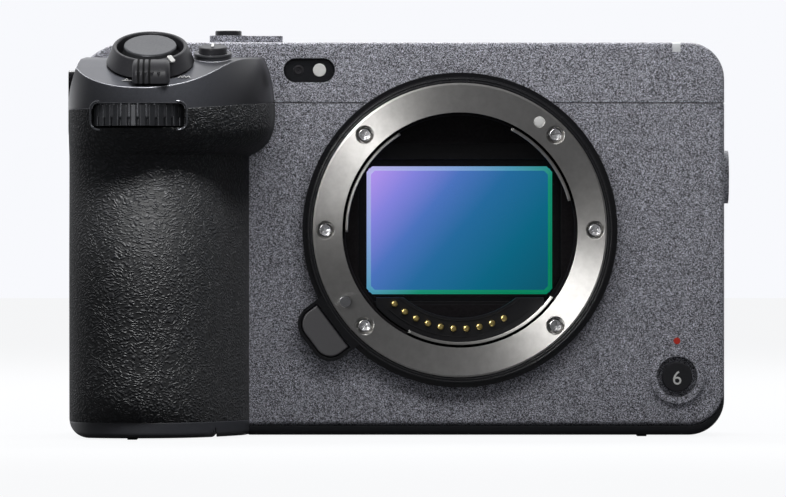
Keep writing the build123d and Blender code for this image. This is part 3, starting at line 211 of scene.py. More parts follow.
soft_edge, given, made = new_group("soft_edge", [("Radius", "Float", 0.0002)],
                                   [("Normal", "Vector"), ("Edge", "Float")])
rounded = add_node(soft_edge, "ShaderNodeBevel", {"Radius": given.outputs["Radius"]}, samples=6)
flat = add_node(soft_edge, "ShaderNodeNewGeometry")
turn = add_node(soft_edge, "ShaderNodeVectorMath", {0: rounded.outputs[0], 1: flat.outputs["Normal"]},
                operation="DOT_PRODUCT")
soft_edge.links.new(rounded.outputs[0], made.inputs["Normal"])
soft_edge.links.new(ranged(soft_edge, turn.outputs["Value"], 0.995, 0.75), made.inputs["Edge"])

fine_grain, given, made = new_group(
    "fine_grain", [("Vector", "Vector", None), ("Scale", "Float", 3000.0), ("Sharpness", "Float", 0.5)],
    [("Value", "Float"), ("Cloud", "Float")])
speck = add_node(fine_grain, "ShaderNodeTexNoise", {"Vector": given.outputs["Vector"], "Detail": 2.0,
                                                    "Scale": given.outputs["Scale"], "Roughness": 0.7})
low = reckon(fine_grain, "SUBTRACT", 0.5, given.outputs["Sharpness"])
high = reckon(fine_grain, "ADD", 0.5, given.outputs["Sharpness"])
cloud = add_node(fine_grain, "ShaderNodeTexNoise",
                 {"Vector": given.outputs["Vector"], "Scale": 60.0, "Detail": 3.0})
fine_grain.links.new(ranged(fine_grain, speck.outputs[0], low, high), made.inputs["Value"])
fine_grain.links.new(cloud.outputs[0], made.inputs["Cloud"])

speckle, given, made = new_group("speckle", [("Vector", "Vector", None), ("Scale", "Float", 4000.0)],
                                 [("Value", "Float"), ("Tilt", "Float")])
flakes = add_node(speckle, "ShaderNodeTexVoronoi",
                  {"Vector": given.outputs["Vector"], "Scale": given.outputs["Scale"]})
apart = add_node(speckle, "ShaderNodeSeparateColor", {0: flakes.outputs["Color"]})
speckle.links.new(reckon(speckle, "POWER", apart.outputs[0], 2.0), made.inputs["Value"])
speckle.links.new(apart.outputs[1], made.inputs["Tilt"])

edge_gain = 1.6
edge_lift = 0.02
sheen_swing = 0.04


def finish(name, dark, light, roughness, scale=3000.0, sharpness=0.3, bump=0.02, metallic=0.0, radius=0.2,
           edge_light=0.35, coat=0.0, specular=0.5, depth=0.05):
    """Finish: fine grain between two colours, soft edges lightened as wear and painted highlight, slightly
    uneven sheen.
    """
    material, tree = bare_material(name)
    place = add_node(tree, "ShaderNodeTexCoord")
    grain = add_node(tree, "ShaderNodeGroup", {"Vector": place.outputs["Object"], "Scale": scale,
                                               "Sharpness": sharpness}, node_tree=fine_grain)
    soft = add_node(tree, "ShaderNodeGroup", {"Radius": radius * MM}, node_tree=soft_edge)
    color = mixed(tree, grain.outputs["Value"], dark, light)
    # Edges are painted lighter: partly wear, partly painted highlight.
    wear_and_highlight = reckon(tree, "MULTIPLY", soft.outputs["Edge"], edge_light)
    bright = tuple(min(1.0, c * edge_gain + edge_lift) for c in light[:3]) + (1.0,)
    sheen = ranged(tree, grain.outputs["Cloud"], 0.3, 0.7, roughness - sheen_swing, roughness + sheen_swing)
    relief = add_node(tree, "ShaderNodeBump",
                      {"Strength": bump, "Distance": depth * MM, "Height": grain.outputs["Value"],
                       "Normal": soft.outputs["Normal"]})
    shader = add_node(tree, "ShaderNodeBsdfPrincipled",
                      {"Base Color": mixed(tree, wear_and_highlight, color, bright), "Roughness": sheen,
                       "Metallic": metallic, "Coat Weight": coat, "Specular IOR Level": specular,
                       "Normal": relief.outputs[0]})
    add_node(tree, "ShaderNodeOutputMaterial", {0: shader.outputs[0]})
    return material, tree, shader


def kind_of(tree, kind):
    """The tree's first node of one kind."""
    return next(node for node in tree.nodes if node.bl_idname == kind)


def dress(material, *names):
    """Gives CAD nodes their finish."""
    for name in names:
        for material_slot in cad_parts[name].material_slots:
            material_slot.material = material


def add_piece(name, bm, material, body, replaces=(), angle=35):
    """Makes a mesh object of a finished shape, drawn in millimetres, which rides on a body of the frame."""
    bmesh.ops.scale(bm, verts=bm.verts, vec=(MM, MM, MM))
    bmesh.ops.recalc_face_normals(bm, faces=bm.faces)
    mesh = bpy.data.meshes.new(name)
    bm.to_mesh(mesh)
    bm.free()
    mesh.shade_smooth()
    mesh.set_sharp_from_angle(angle=radians(angle))
    made = bpy.data.objects.new(name, mesh)
    scene.collection.objects.link(made)
    mesh.materials.append(material)
    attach(made, body)
    if replaces:
        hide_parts(*replaces)
    return made


def node_box(name):
    """Low and high corner of a CAD node, in millimetres."""
    low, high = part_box(name)
    return Vector(low) / MM, Vector(high) / MM


def facing(point, out, up=(0, 0, 1)):
    """Frame at a point whose Z axis looks out of a surface and whose Y axis is near to up."""
    out = Vector(out).normalized()
    side = Vector(up).cross(out).normalized()
    upright = out.cross(side)
    turned = Matrix((side, upright, out)).transposed().to_4x4()
    return Matrix.Translation(point) @ turned


def turned_shape(bm, profile, matrix, steps=48):
    """Lathe-turned shape from radius and height pairs about the frame's Z axis."""
    verts = [bm.verts.new((radius, 0, height)) for radius, height in profile]
    edges = [bm.edges.new(pair) for pair in zip(verts, verts[1:])]
    spun = bmesh.ops.spin(bm, geom=verts + edges, cent=(0, 0, 0), axis=(0, 0, 1), angle=2 * pi, steps=steps,
                          use_merge=True)
    made = {v for v in spun["geom_last"] if isinstance(v, bmesh.types.BMVert)} | set(verts)
    grown = set(made)
    while True:
        wider = {e.other_vert(v) for v in grown for e in v.link_edges} | grown
        if len(wider) == len(grown):
            break
        grown = wider
    bmesh.ops.transform(bm, matrix=matrix, verts=list(grown))
    poles = [v for v in grown if v.is_valid]
    bmesh.ops.remove_doubles(bm, verts=poles, dist=0.0005)


def rounded_outline(width, height, corner, steps=8):
    """Points of a rounded rectangle, counterclockwise."""
    points = []
    for quarter, (sx, sy) in enumerate(((1, 1), (-1, 1), (-1, -1), (1, -1))):
        for step in range(steps + 1):
            angle = (quarter + step / steps) * pi / 2
            points.append((sx * (width / 2 - corner) + corner * cos(angle),
                           sy * (height / 2 - corner) + corner * sin(angle)))
    return points


def joined(bm, loops, capped=True):
    """Faces between neighbouring loops of equal length."""
    for lower, upper in zip(loops, loops[1:]):
        for index in range(len(lower)):
            after = (index + 1) % len(lower)
            bm.faces.new((lower[index], lower[after], upper[after], upper[index]))
    if capped:
        bm.faces.new(list(reversed(loops[0])))
        bm.faces.new(loops[-1])


def layered(bm, layers, matrix, capped=True):
    """Shape through stacked outlines of equal length, each with its height."""
    loops = []
    for outline, height in layers:
        loops.append([bm.verts.new(matrix @ Vector((x, y, height))) for x, y in outline])
    joined(bm, loops, capped)
    return loops


def figure(bm, text, height, thick, matrix):
    """Raised plain figure, centred on the frame's origin and read from its Z side."""
    curve = bpy.data.curves.new("figure", "FONT")
    curve.body = text
    curve.size = height * 1.45
    curve.extrude = thick / 2
    curve.align_x = "CENTER"
    curve.align_y = "CENTER"
    curve.resolution_u = 6
    holder = bpy.data.objects.new("figure", curve)
    scene.collection.objects.link(holder)
    mesh = bpy.data.meshes.new_from_object(holder.evaluated_get(bpy.context.evaluated_depsgraph_get()))
    bpy.data.objects.remove(holder)
    bpy.data.curves.remove(curve)
    before = set(bm.verts)
    bm.from_mesh(mesh)
    bpy.data.meshes.remove(mesh)
    fresh = [v for v in bm.verts if v not in before]
    low = Vector([min(v.co[k] for v in fresh) for k in range(3)])
    high = Vector([max(v.co[k] for v in fresh) for k in range(3)])
    bmesh.ops.translate(bm, verts=fresh, vec=-(low + high) / 2)
    bmesh.ops.transform(bm, matrix=matrix, verts=fresh)
    bmesh.ops.remove_doubles(bm, verts=fresh, dist=0.001)


def stroke(bm, points, width, thick, matrix):
    """Raised line of even width through points of the frame's face."""
    left, right = [], []
    for index, point in enumerate(points):
        before = Vector(points[max(index - 1, 0)])
        after = Vector(points[min(index + 1, len(points) - 1)])
        along = (after - before).normalized()
        side = Vector((-along.y, along.x)) * width / 2
        left.append(Vector(point) + side)
        right.append(Vector(point) - side)
    outline = [tuple(p) for p in left] + [tuple(p) for p in reversed(right)]
    layered(bm, [(outline, 0.0), (outline, thick)], matrix)


# Chassis, stabiliser stage and boards. Cast and milled alloy, a green circuit board and a black
# moulded fan housing, all screwed to the chassis behind the throat.
cast_alloy = finish("cast_alloy", srgb(120, 121, 124), srgb(150, 151, 154), 0.5, 900, sharpness=0.2,
                    bump=0.15, metallic=0.8)[0]
solder_mask = finish("solder_mask", srgb(14, 74, 44), srgb(24, 100, 60), 0.35, 500, sharpness=0.1,
                     bump=0.05)[0]
fan_black = finish("fan_black", srgb(24, 24, 26), srgb(36, 36, 38), 0.5, 1500)[0]
cell_wrap = finish("cell_wrap", srgb(44, 45, 48), srgb(56, 57, 60), 0.55, 1800)[0]
dress(cast_alloy, "chassis", "sensor_stage")
dress(solder_mask, "main_board")
dress(fan_black, "cooling_duct", "fan_rotor")
dress(cell_wrap, "battery", "card_cage")


# Shutter. Thin blackened blades in a black tray that is screwed to the chassis. At rest one pair
# lies above the picture gate and one below it.
blade_black = finish("blade_black", srgb(24, 23, 25), srgb(34, 33, 35), 0.5, 1200, metallic=0.2)[0]
dress(blade_black, "shutter_frame", "front_curtain_lead", "front_curtain_follow", "rear_curtain_lead",
      "rear_curtain_follow")


# Image sensor. A silicon array in a black ceramic package bonded to the cover glass. Its colour
# filters' sheen from violet to teal is a painted reflection, laid on the array as a glow.
def axes_of(tree):
    """X, Y and Z of each point in the part's own frame."""
    place = kind_of(tree, "ShaderNodeTexCoord")
    return add_node(tree, "ShaderNodeSeparateXYZ", {0: place.outputs["Object"]}).outputs


def overpaint(tree, shader, amount, color):
    """Lays a colour over a finish, as far as the amount says."""
    bare = shader.inputs["Base Color"].links[0].from_socket
    tree.links.new(mixed(tree, amount, bare, color), shader.inputs["Base Color"])


def ramp_of(tree, value, stops):
    """Colour along a value, through stops that each have a position and a colour."""
    node = add_node(tree, "ShaderNodeValToRGB", {0: value})
    ramp = node.color_ramp
    for end in (0, -1):
        ramp.elements[end].position = stops[end][0]
        ramp.elements[end].color = srgb(*stops[end][1])
    for position, tint in stops[1:-1]:
        ramp.elements.new(position).color = srgb(*tint)
    return node.outputs[0]


array_half_x = 17.9
array_half_z = 12.2
black = (0, 0, 0, 1)
sensor_finish, tree, shader = finish("sensor_array", srgb(16, 16, 18), srgb(22, 22, 24), 0.25, 1500)
axes = axes_of(tree)
across = reckon(tree, "MULTIPLY_ADD", axes["Z"], -0.85, axes["X"])
# Painted reflection: the array glows in colours that run from violet to teal over a black base.
painted_shimmer_glow = ramp_of(tree, ranged(tree, across, -28 * MM, 28 * MM),
                  [(0.0, (182, 148, 238)), (0.17, (131, 129, 220)), (0.33, (74, 113, 188)),
                   (0.5, (34, 104, 156)), (0.74, (2, 99, 129)), (1.0, (2, 84, 104))])
inside_x = reckon(tree, "LESS_THAN", reckon(tree, "ABSOLUTE", axes["X"]), array_half_x * MM)
inside_z = reckon(tree, "LESS_THAN", reckon(tree, "ABSOLUTE", axes["Z"]), array_half_z * MM)
active = reckon(tree, "MULTIPLY", inside_x, inside_z)
overpaint(tree, shader, active, black)
tree.links.new(mixed(tree, active, black, painted_shimmer_glow), shader.inputs["Emission Color"])
shader.inputs["Emission Strength"].default_value = 1.0
dress(sensor_finish, "image_sensor")

clear_glass, tree = bare_material("cover_glass")
dust = add_node(tree, "ShaderNodeTexNoise", {"Scale": 90.0})
haze = ranged(tree, dust.outputs[0], 0.4, 0.7, 0.015, 0.03)
pane = add_node(tree, "ShaderNodeBsdfPrincipled", {"Base Color": (0.96, 1.0, 0.99, 1), "Roughness": haze,
                                                   "Transmission Weight": 1.0, "IOR": 1.5})
through = add_node(tree, "ShaderNodeBsdfTransparent")
ray = add_node(tree, "ShaderNodeLightPath")
shade = blended(tree, ray.outputs["Is Shadow Ray"], pane.outputs[0], through.outputs[0])
add_node(tree, "ShaderNodeOutputMaterial", {0: shade})
dress(clear_glass, "sensor_glass")


# Bevel of the cover glass. Its ground edge glows with a painted highlight: pale along the top and
# the left, green at the right and the bottom.
bevel_width = 0.82
bevel_fall = 0.45
corner_cut = 1.1
glass_low, glass_high = node_box("sensor_glass")


def cut_outline(inset):
    """Outline of the glass with its cut corners, drawn in by an inset."""
    half_x = glass_high.x - inset
    half_z = glass_high.z - inset
    cut = corner_cut - inset * 0.4
    quarter = [(half_x, half_z - cut), (half_x - cut, half_z)]
    return (quarter + [(-x, z) for x, z in reversed(quarter)] + [(-x, -z) for x, z in quarter]
            + [(x, -z) for x, z in reversed(quarter)])


bm = bmesh.new()
glass_face = Matrix(((1, 0, 0, 0), (0, 0, -1, glass_low.y), (0, 1, 0, 0), (0, 0, 0, 1)))
layered(bm, [(cut_outline(0.0), -bevel_fall), (cut_outline(0.03), -bevel_fall + 0.1),
             (cut_outline(bevel_width), 0.08), (cut_outline(bevel_width + 0.03), 0.02)],
        glass_face, capped=False)
bevel_finish, tree, shader = finish("glass_bevel", srgb(12, 12, 14), srgb(16, 16, 18), 0.15, 300, radius=0.02)
axes = axes_of(tree)
across = reckon(tree, "MULTIPLY_ADD", axes["Z"], -1.15, axes["X"])
# Painted highlight: the bevel glows pale at the top left and green at the bottom right.
painted_edge_glint = ramp_of(tree, ranged(tree, across, -32 * MM, 24 * MM),
                [(0.0, (196, 190, 246)), (0.3, (140, 172, 226)), (0.5, (84, 160, 190)),
                 (0.68, (26, 146, 118)), (1.0, (6, 134, 96))])
tree.links.new(painted_edge_glint, shader.inputs["Emission Color"])
shader.inputs["Emission Strength"].default_value = 0.9
add_piece("glass_bevel", bm, bevel_finish, "sensor_stage", angle=20)


# Throat. A flocked black liner with its mask, and the moulded block of the ten gold-plated
# contacts, set in at the bottom of the bore.
forward = (0, -1, 0)
flocking = finish("flocking", srgb(20, 18, 20), srgb(38, 36, 38), 0.85, 2500, bump=0.3, specular=0.2)[0]
contact_black = finish("contact_black", srgb(22, 22, 24), srgb(30, 30, 33), 0.5, 2000)[0]
gold_plate = finish("gold_plate", srgb(210, 184, 108), srgb(228, 206, 138), 0.3, 900, metallic=1.0)[0]
dress(flocking, "light_baffle")
dress(contact_black, "contact_block")
dress(gold_plate, "contact_pins")


def arc_band(inner, outer, start, stop, steps=40):
    """Outline of a band between two circles and two angles in degrees."""
    angles = [radians(start + (stop - start) * step / steps) for step in range(steps + 1)]
    return ([(outer * cos(a), outer * sin(a)) for a in angles]
            + [(inner * cos(a), inner * sin(a)) for a in reversed(angles)])


contact_face = facing((0, node_box("contact_block")[0].y, 0), forward)
bm = bmesh.new()
for inner, outer in ((17.6, 17.85), (20.75, 20.95)):
    track = arc_band(inner, outer, 228, 312)
    layered(bm, [(track, -0.1), (track, 0.14)], contact_face)
add_piece("contact_track", bm, contact_black, "body")


# Casing. Cast magnesium shells screwed round the chassis, in matt grey paint with a dense light
# and dark speckle.
sparkle_paint, tree, shader = finish("sparkle_paint", srgb(66, 66, 69), srgb(132, 132, 137), 0.55, 4200,
                                     sharpness=0.22, bump=0.35, metallic=0.1, edge_light=0.5, depth=0.04,
                                     radius=0.25)
place = kind_of(tree, "ShaderNodeTexCoord")
flecks = add_node(tree, "ShaderNodeGroup", {"Vector": place.outputs["Object"], "Scale": 8200.0},
                  node_tree=speckle)
fleck_color = mixed(tree, flecks.outputs["Value"], srgb(8, 8, 9), srgb(238, 239, 252))
edged = shader.inputs["Base Color"].links[0].from_node
tree.links.new(fleck_color, edged.inputs[6])
tree.links.new(flecks.outputs["Tilt"], kind_of(tree, "ShaderNodeBump").inputs["Height"])
dress(sparkle_paint, "front_cover", "top_cover", "rear_cover")


# Base. Smooth dark paint on the base plate and on the grip's lower band, which close the casing
# and the grip from below.
base_paint = finish("base_paint", srgb(22, 23, 26), srgb(28, 29, 33), 0.45, 2500, radius=0.3)[0]
dress(base_paint, "base_cover", "grip_base")


# Lens mount. A turned stainless steel flange with its bayonet tabs; the fine rings of the lathe
# spread each light into a fan.
steel, tree, shader = finish("turned_steel", srgb(196, 194, 191), srgb(208, 206, 203), 0.55, 500,
                             sharpness=0.2, bump=0.06, metallic=1.0, radius=0.12, edge_light=0.6)
place = kind_of(tree, "ShaderNodeTexCoord")
level = add_node(tree, "ShaderNodeVectorMath", {0: place.outputs["Object"], 1: (1, 0, 1)},
                 operation="MULTIPLY")
reach = add_node(tree, "ShaderNodeVectorMath", {0: level.outputs[0]}, operation="LENGTH").outputs["Value"]
lines = add_node(tree, "ShaderNodeTexNoise", {"W": reach, "Scale": 9000.0, "Detail": 2.0},
                 noise_dimensions="1D")
tree.links.new(lines.outputs[0], kind_of(tree, "ShaderNodeBump").inputs["Height"])
around = add_node(tree, "ShaderNodeTangent", direction_type="RADIAL", axis="Y")
tree.links.new(around.outputs[0], shader.inputs["Tangent"])
shader.inputs["Anisotropic"].default_value = 0.9
shader.inputs["Anisotropic Rotation"].default_value = 0.25
# Painted shade: past the tabs and behind the lip, the groove deep in the flange is painted dark.
past_tabs = ranged(tree, reach, 22.35 * MM, 22.5 * MM)
before_lip = ranged(tree, reach, 22.99 * MM, 23.06 * MM, 1.0, 0.0)
deep = reckon(tree, "GREATER_THAN", axes_of(tree)["Y"], 0.2 * MM)
painted_undercut_shade = reckon(tree, "MULTIPLY", reckon(tree, "MULTIPLY", past_tabs, before_lip), deep)
overpaint(tree, shader, painted_undercut_shade, srgb(20, 20, 21))
dress(steel, "mount_ring")

bm = bmesh.new()
for start, stop in ((15.6, 62.4), (122.6, 180.4), (243.6, 323.4)):
    foot = arc_band(21.92, 22.5, start, stop)
    top = arc_band(22.0, 22.42, start + 0.2, stop - 0.2)
    layered(bm, [(foot, -1.7), (foot, -0.85), (top, -0.75)], facing((0, 0, 0), forward))
add_piece("tab_crests", bm, steel, "body")

bright_steel = finish("bright_steel", srgb(176, 176, 178), srgb(196, 196, 198), 0.25, 900, metallic=1.0,
                      radius=0.1)[0]
dress(bright_steel, "screw_sockets", "lock_pin", "port_sockets")


# Flange screws. Plated steel screws that hold the flange, with pan heads and a cross recess, each
# turned to rest where it was tightened.
def cross_points(long, narrow):
    """Outline of a cross with square ends."""
    points = []
    for quarter in range(4):
        spin = Matrix.Rotation(quarter * pi / 2, 2)
        for point in ((long, -narrow), (long, 0), (long, narrow), (narrow, narrow)):
            points.append(tuple(spin @ Vector(point)))
    return points


def screw(bm, matrix, head, height, shank, length):
    """Pan-head screw with its shank below the frame's face and its head above it."""
    points = cross_points(head * 0.62, head * 0.16)
    angles = [atan2(y, x) for x, y in points]

    def circle(radius):
        return [(radius * cos(a), radius * sin(a)) for a in angles]

    layered(bm, [(circle(shank), -length), (circle(shank), 0.0), (circle(head), 0.0),
                 (circle(head), height * 0.62), (circle(head * 0.93), height * 0.86),
                 (circle(head * 0.8), height), (points, height * 0.97),
                 ([(x * 0.82, y * 0.82) for x, y in points], height * 0.45)], matrix)


def on_flange(circle, degrees, depth):
    """Frame on a circle round the mount, which looks out of the front."""
    angle = radians(degrees)
    return facing((circle * cos(angle), depth, circle * sin(angle)), forward)


screw_circle = 26.35
screw_seat = 1.25
screw_turns = {0: 38, 45: 12, 135: 70, 180: 25, 225: 55, 315: 80}
bm = bmesh.new()
for angle, rest in screw_turns.items():
    turned = on_flange(screw_circle, angle, screw_seat) @ Matrix.Rotation(radians(rest), 4, "Z")
    screw(bm, turned, head=1.35, height=0.95, shank=0.8, length=6.0)
add_piece("flange_screws", bm, bright_steel, "body", ["mount_screws"])


# Mount index. A white plastic dot with a low dome, pressed into the flange, for lining up the
# lens.
index_circle = 26.2
index_angle = 53.9
index_seat = 0.3
mark_white = finish("mark_white", srgb(206, 206, 204), srgb(224, 224, 222), 0.45, 1500)[0]
bm = bmesh.new()
turned_shape(bm, [(1.1, 0.0), (1.1, 0.12), (1.0, 0.22), (0.75, 0.3), (0.4, 0.34), (0.0, 0.35)],
             on_flange(index_circle, index_angle, index_seat), 32)
add_piece("index_dot", bm, mark_white, "body")


# Trim ring and release. A black anodised ring round the flange, with a lobe that holds the
# release button. Two fine bands are turned on its face.
ring_black = finish("ring_black", srgb(18, 18, 20), srgb(24, 24, 27), 0.28, 2500, radius=0.25,
                    edge_light=0.6)[0]
release_black = finish("release_black", srgb(34, 33, 36), srgb(42, 41, 44), 0.4, 2500, radius=0.3,
                       edge_light=0.5)[0]
dress(ring_black, "trim_ring", "strap_lugs", "accessory_shoe")
dress(release_black, "lens_release")
ring_face = facing((0, node_box("trim_ring")[0].y, 0), forward)
bm = bmesh.new()
for circle in (29.1, 29.6):
    profile = [(circle - 0.13, -0.05), (circle - 0.11, 0.07), (circle, 0.11), (circle + 0.11, 0.07),
               (circle + 0.13, -0.05)]
    turned_shape(bm, profile, ring_face, 144)
add_piece("trim_bands", bm, ring_black, "body")


# Front window. A gloss black pane glued into a sunk pill, with a small sensor lens and a white
# diffuser in it.
smoked = finish("smoked_window", srgb(22, 23, 26), srgb(28, 29, 32), 0.14, 600, coat=0.4, radius=0.1)[0]
pill_low, pill_high = node_box("sensor_window")
pill_middle = (pill_low + pill_high) / 2
pill_width = pill_high.x - pill_low.x
pill_height = pill_high.z - pill_low.z
pill_face = facing((pill_middle.x, pill_low.y, pill_middle.z), forward)
sink = 0.55


def pill(inset):
    """Outline of the window, drawn in by an inset."""
    return rounded_outline(pill_width - 2 * inset, pill_height - 2 * inset, pill_height / 2 - inset - 0.01)


bm = bmesh.new()
layered(bm, [(pill(0.0), -0.95), (pill(0.0), 0.0), (pill(0.18), 0.02), (pill(0.42), -sink),
             (pill(0.7), -sink - 0.03)], pill_face)
add_piece("window_pane", bm, smoked, "body", ["sensor_window"])
bm = bmesh.new()
lens_face = pill_face @ Matrix.Translation((-2.1, 0.02, -sink))
turned_shape(bm, [(0.0, -0.05), (0.3, 0.0), (0.42, -0.03), (0.55, 0.0), (0.62, 0.16), (0.78, 0.2),
                  (0.86, 0.05), (1.0, 0.03), (1.06, -0.04)], lens_face, 32)
add_piece("sensor_lens", bm, release_black, "body")
bm = bmesh.new()
diffuser_face = pill_face @ Matrix.Translation((2.0, 0.05, -sink))
turned_shape(bm, [(1.28, -0.05), (1.28, 0.1), (1.2, 0.16), (0.0, 0.18)], diffuser_face, 40)
add_piece("diffuser", bm, mark_white, "body")


# Recording lamp. A diffuser strip of pale clouded plastic, set into the casing over its top
# front edge.
lamp_pale = finish("lamp_diffuser", srgb(206, 208, 210), srgb(222, 224, 226), 0.35, 600)[0]
dress(lamp_pale, "tally_lamp")


# Grip. A dark moulding under a glued leather-grain skin, with a smooth satin shoulder on top that
# has painted shade towards the casing and a bright painted highlight along its edges.
moulding = finish("grip_moulding", srgb(26, 27, 30), srgb(36, 37, 40), 0.5, 2000)[0]
shoulder, tree, shader = finish("shoulder_satin", srgb(40, 41, 45), srgb(52, 53, 57), 0.36, 2600,
                                sharpness=0.25, bump=0.06, radius=0.3, edge_light=3.0)
# Painted highlight: the shoulder's edges, its crest above all, are painted near white.
edged = shader.inputs["Base Color"].links[0].from_node
edged.inputs[7].default_value = srgb(168, 169, 175)
# Painted shade: the shoulder is painted darker towards the casing.
painted_shade_to_casing = ranged(tree, axes_of(tree)["X"], -56.0 * MM, -39.0 * MM, interpolation_type="SMOOTHSTEP")
overpaint(tree, shader, painted_shade_to_casing, srgb(12, 12, 14))
dress(moulding, "grip_frame")
dress(shoulder, "grip_shoulder")

hide, tree = bare_material("leather_grain")
place = add_node(tree, "ShaderNodeTexCoord").outputs["Object"]
warp = add_node(tree, "ShaderNodeTexNoise", {"Vector": place, "Scale": 260.0, "Detail": 2.0})
shift = mixed(tree, 0.0018, place, warp.outputs[1], blend_type="LINEAR_LIGHT")
stretch = add_node(tree, "ShaderNodeVectorMath", {0: shift, 1: (0.6, 1.0, 1.2)}, operation="MULTIPLY")
pebble = add_node(tree, "ShaderNodeTexVoronoi",
                  {"Vector": stretch.outputs[0], "Scale": 1900.0, "Smoothness": 0.25}, feature="SMOOTH_F1")
mound = ranged(tree, pebble.outputs[0], 0.0, 0.6, 1.0, 0.0)
pore = add_node(tree, "ShaderNodeTexNoise", {"Vector": place, "Scale": 2600.0})
surface = reckon(tree, "MULTIPLY_ADD", pore.outputs[0], 0.25, mound)
soft = add_node(tree, "ShaderNodeGroup", {"Radius": 0.3 * MM}, node_tree=soft_edge)
relief = add_node(tree, "ShaderNodeBump", {"Strength": 1.0, "Distance": 0.21 * MM, "Height": surface,
                                           "Normal": soft.outputs["Normal"]})
tone = mixed(tree, mound, srgb(3, 4, 6), srgb(24, 25, 29))
gloss = ranged(tree, mound, 0.0, 1.0, 0.68, 0.5)
skin_shader = add_node(tree, "ShaderNodeBsdfPrincipled",
                       {"Base Color": tone, "Roughness": gloss, "Normal": relief.outputs[0]})
add_node(tree, "ShaderNodeOutputMaterial", {0: skin_shader.outputs[0]})
dress(hide, "grip_skin")


# Controls. Satin black mouldings and dark anodised metal, each in its own seat. The power lever
# wears the casing's speckled paint.
control_black = finish("control_black", srgb(30, 30, 33), srgb(40, 40, 43), 0.36, 2500, edge_light=0.6)[0]
control_metal = finish("control_metal", srgb(66, 67, 70), srgb(84, 85, 88), 0.35, 2500, metallic=0.6)[0]
dial_black = finish("dial_black", srgb(40, 41, 44), srgb(54, 55, 58), 0.3, 2500, metallic=0.5)[0]
dress(control_black, "zoom_lever", "custom_button", "front_record_button", "top_record_button", "joystick",
      "wheel_button", "control_wheel", "menu_button", "function_button", "playback_button", "delete_button")
dress(control_metal, "shutter_button")
dress(dial_black, "front_dial", "rear_dial")
dress(sparkle_paint, "power_lever")


# Figures and marks. White and red paint, laid a few hundredths of a millimetre proud of the
# controls and the casing.
front_face = 4.0
record_red = finish("record_red", srgb(178, 42, 30), srgb(206, 58, 44), 0.5, 1500)[0]
record_low, record_high = node_box("front_record_button")
record_middle = (record_low + record_high) / 2
bm = bmesh.new()
record_top = facing((record_middle.x, record_low.y, record_middle.z - 0.2), forward)
figure(bm, "6", 2.65, 0.04, record_top)
add_piece("record_figure", bm, mark_white, "front_record_button")
bm = bmesh.new()
record_dot = facing((record_middle.x, front_face, record_middle.z + 7.0), forward)
turned_shape(bm, [(0.66, -0.03), (0.66, 0.04), (0.5, 0.06), (0.0, 0.06)], record_dot, 24)
add_piece("record_dot", bm, record_red, "body")

custom_tilt = radians(12)
custom_low, custom_high = node_box("custom_button")
custom_middle = (custom_low + custom_high) / 2
custom_rise = 1.68
custom_up = Vector((0, -sin(custom_tilt), cos(custom_tilt)))
figure_top = (0, 1, 0.2)
custom_top = facing(custom_middle + custom_up * custom_rise, custom_up, figure_top)
bm = bmesh.new()
figure(bm, "1", 3.2, 0.06, custom_top)
add_piece("custom_figure", bm, mark_white, "custom_button")

custom_seat = facing((-47.9, -16.4, 33.0), custom_up, figure_top)
bm = bmesh.new()
turned_shape(bm, [(3.1, 1.0), (3.12, 1.22), (3.3, 1.3), (3.55, 1.28), (3.68, 1.12), (3.66, 0.9)], custom_seat)
add_piece("custom_rim", bm, control_metal, "body")


# Thumb tab of the lever. A thick ribbed block that runs from the collar's lip down to its foot,
# with the white index beside it, and two zoom marks painted on the slope.
lean = radians(25)
lever_x = -59.8
lever_seat = Matrix.Translation((lever_x, -21.2, 32.2)) @ Matrix.Rotation(lean, 4, "X")
tab_curve = [(-6.55, 3.56), (-7.6, 3.72), (-8.95, 3.66), (-10.1, 3.2), (-10.8, 2.35), (-11.05, 1.3),
             (-11.1, 0.45)]
tab_back = -6.5
tab_low = -3.2
tab_high = 4.0
tab_round = 0.9
tab_steps = 90
grooves = (-2.0, -1.0, 0.1)
groove_half = 0.26
groove_depth = 0.18
bm = bmesh.new()
loops = []
for step in range(tab_steps + 1):
    x = tab_low + (tab_high - tab_low) * step / tab_steps
    near_end = min(x - tab_low, tab_high - x, tab_round)
    depth = tab_round - (tab_round ** 2 - (tab_round - near_end) ** 2) ** 0.5
    nearest = min(abs(x - groove) for groove in grooves)
    if nearest < groove_half:
        depth += groove_depth * (1 - (nearest / groove_half) ** 2)
    loop = [bm.verts.new((x, tab_back, 0.4)), bm.verts.new((x, tab_back, 3.3))]
    for index, (y, z) in enumerate(tab_curve):
        fall = index / (len(tab_curve) - 1)
        loop.append(bm.verts.new((x, y + depth * min(1.0, 0.25 + fall), z - depth * (1 - fall) * 0.8)))
    loops.append(loop)
joined(bm, loops)
bmesh.ops.transform(bm, matrix=lever_seat, verts=bm.verts)
lever_black, tree, shader = finish("lever_black", srgb(34, 34, 37), srgb(44, 44, 47), 0.42, 2500,
                                   edge_light=0.6)
axes = axes_of(tree)
lines = None
for groove in grooves:
    away = reckon(tree, "ABSOLUTE", reckon(tree, "SUBTRACT", axes["X"], (groove + lever_x) * MM))
    line = ranged(tree, away, 0.13 * MM, 0.27 * MM, 1.0, 0.0)
    lines = line if lines is None else reckon(tree, "MAXIMUM", lines, line)
ribbed = reckon(tree, "MULTIPLY", lines, reckon(tree, "LESS_THAN", axes["Y"], -26.9 * MM))
overpaint(tree, shader, ribbed, srgb(4, 4, 5))
tree.links.new(ranged(tree, ribbed, 0.0, 1.0, 0.42, 0.9), shader.inputs["Roughness"])
dress(lever_black, "zoom_lever")
add_piece("lever_tab", bm, lever_black, "zoom_lever", angle=50)

bm = bmesh.new()
index_shape = rounded_outline(1.7, 1.0, 0.25)
index_place = (lever_seat @ Matrix.Rotation(radians(-55), 4, "Z") @ Matrix.Translation((7.3, 0, 3.46))
               @ Matrix.Rotation(radians(22), 4, "Y"))
layered(bm, [(index_shape, -0.3), (index_shape, 0.05)], index_place)
add_piece("lever_index", bm, mark_white, "zoom_lever")

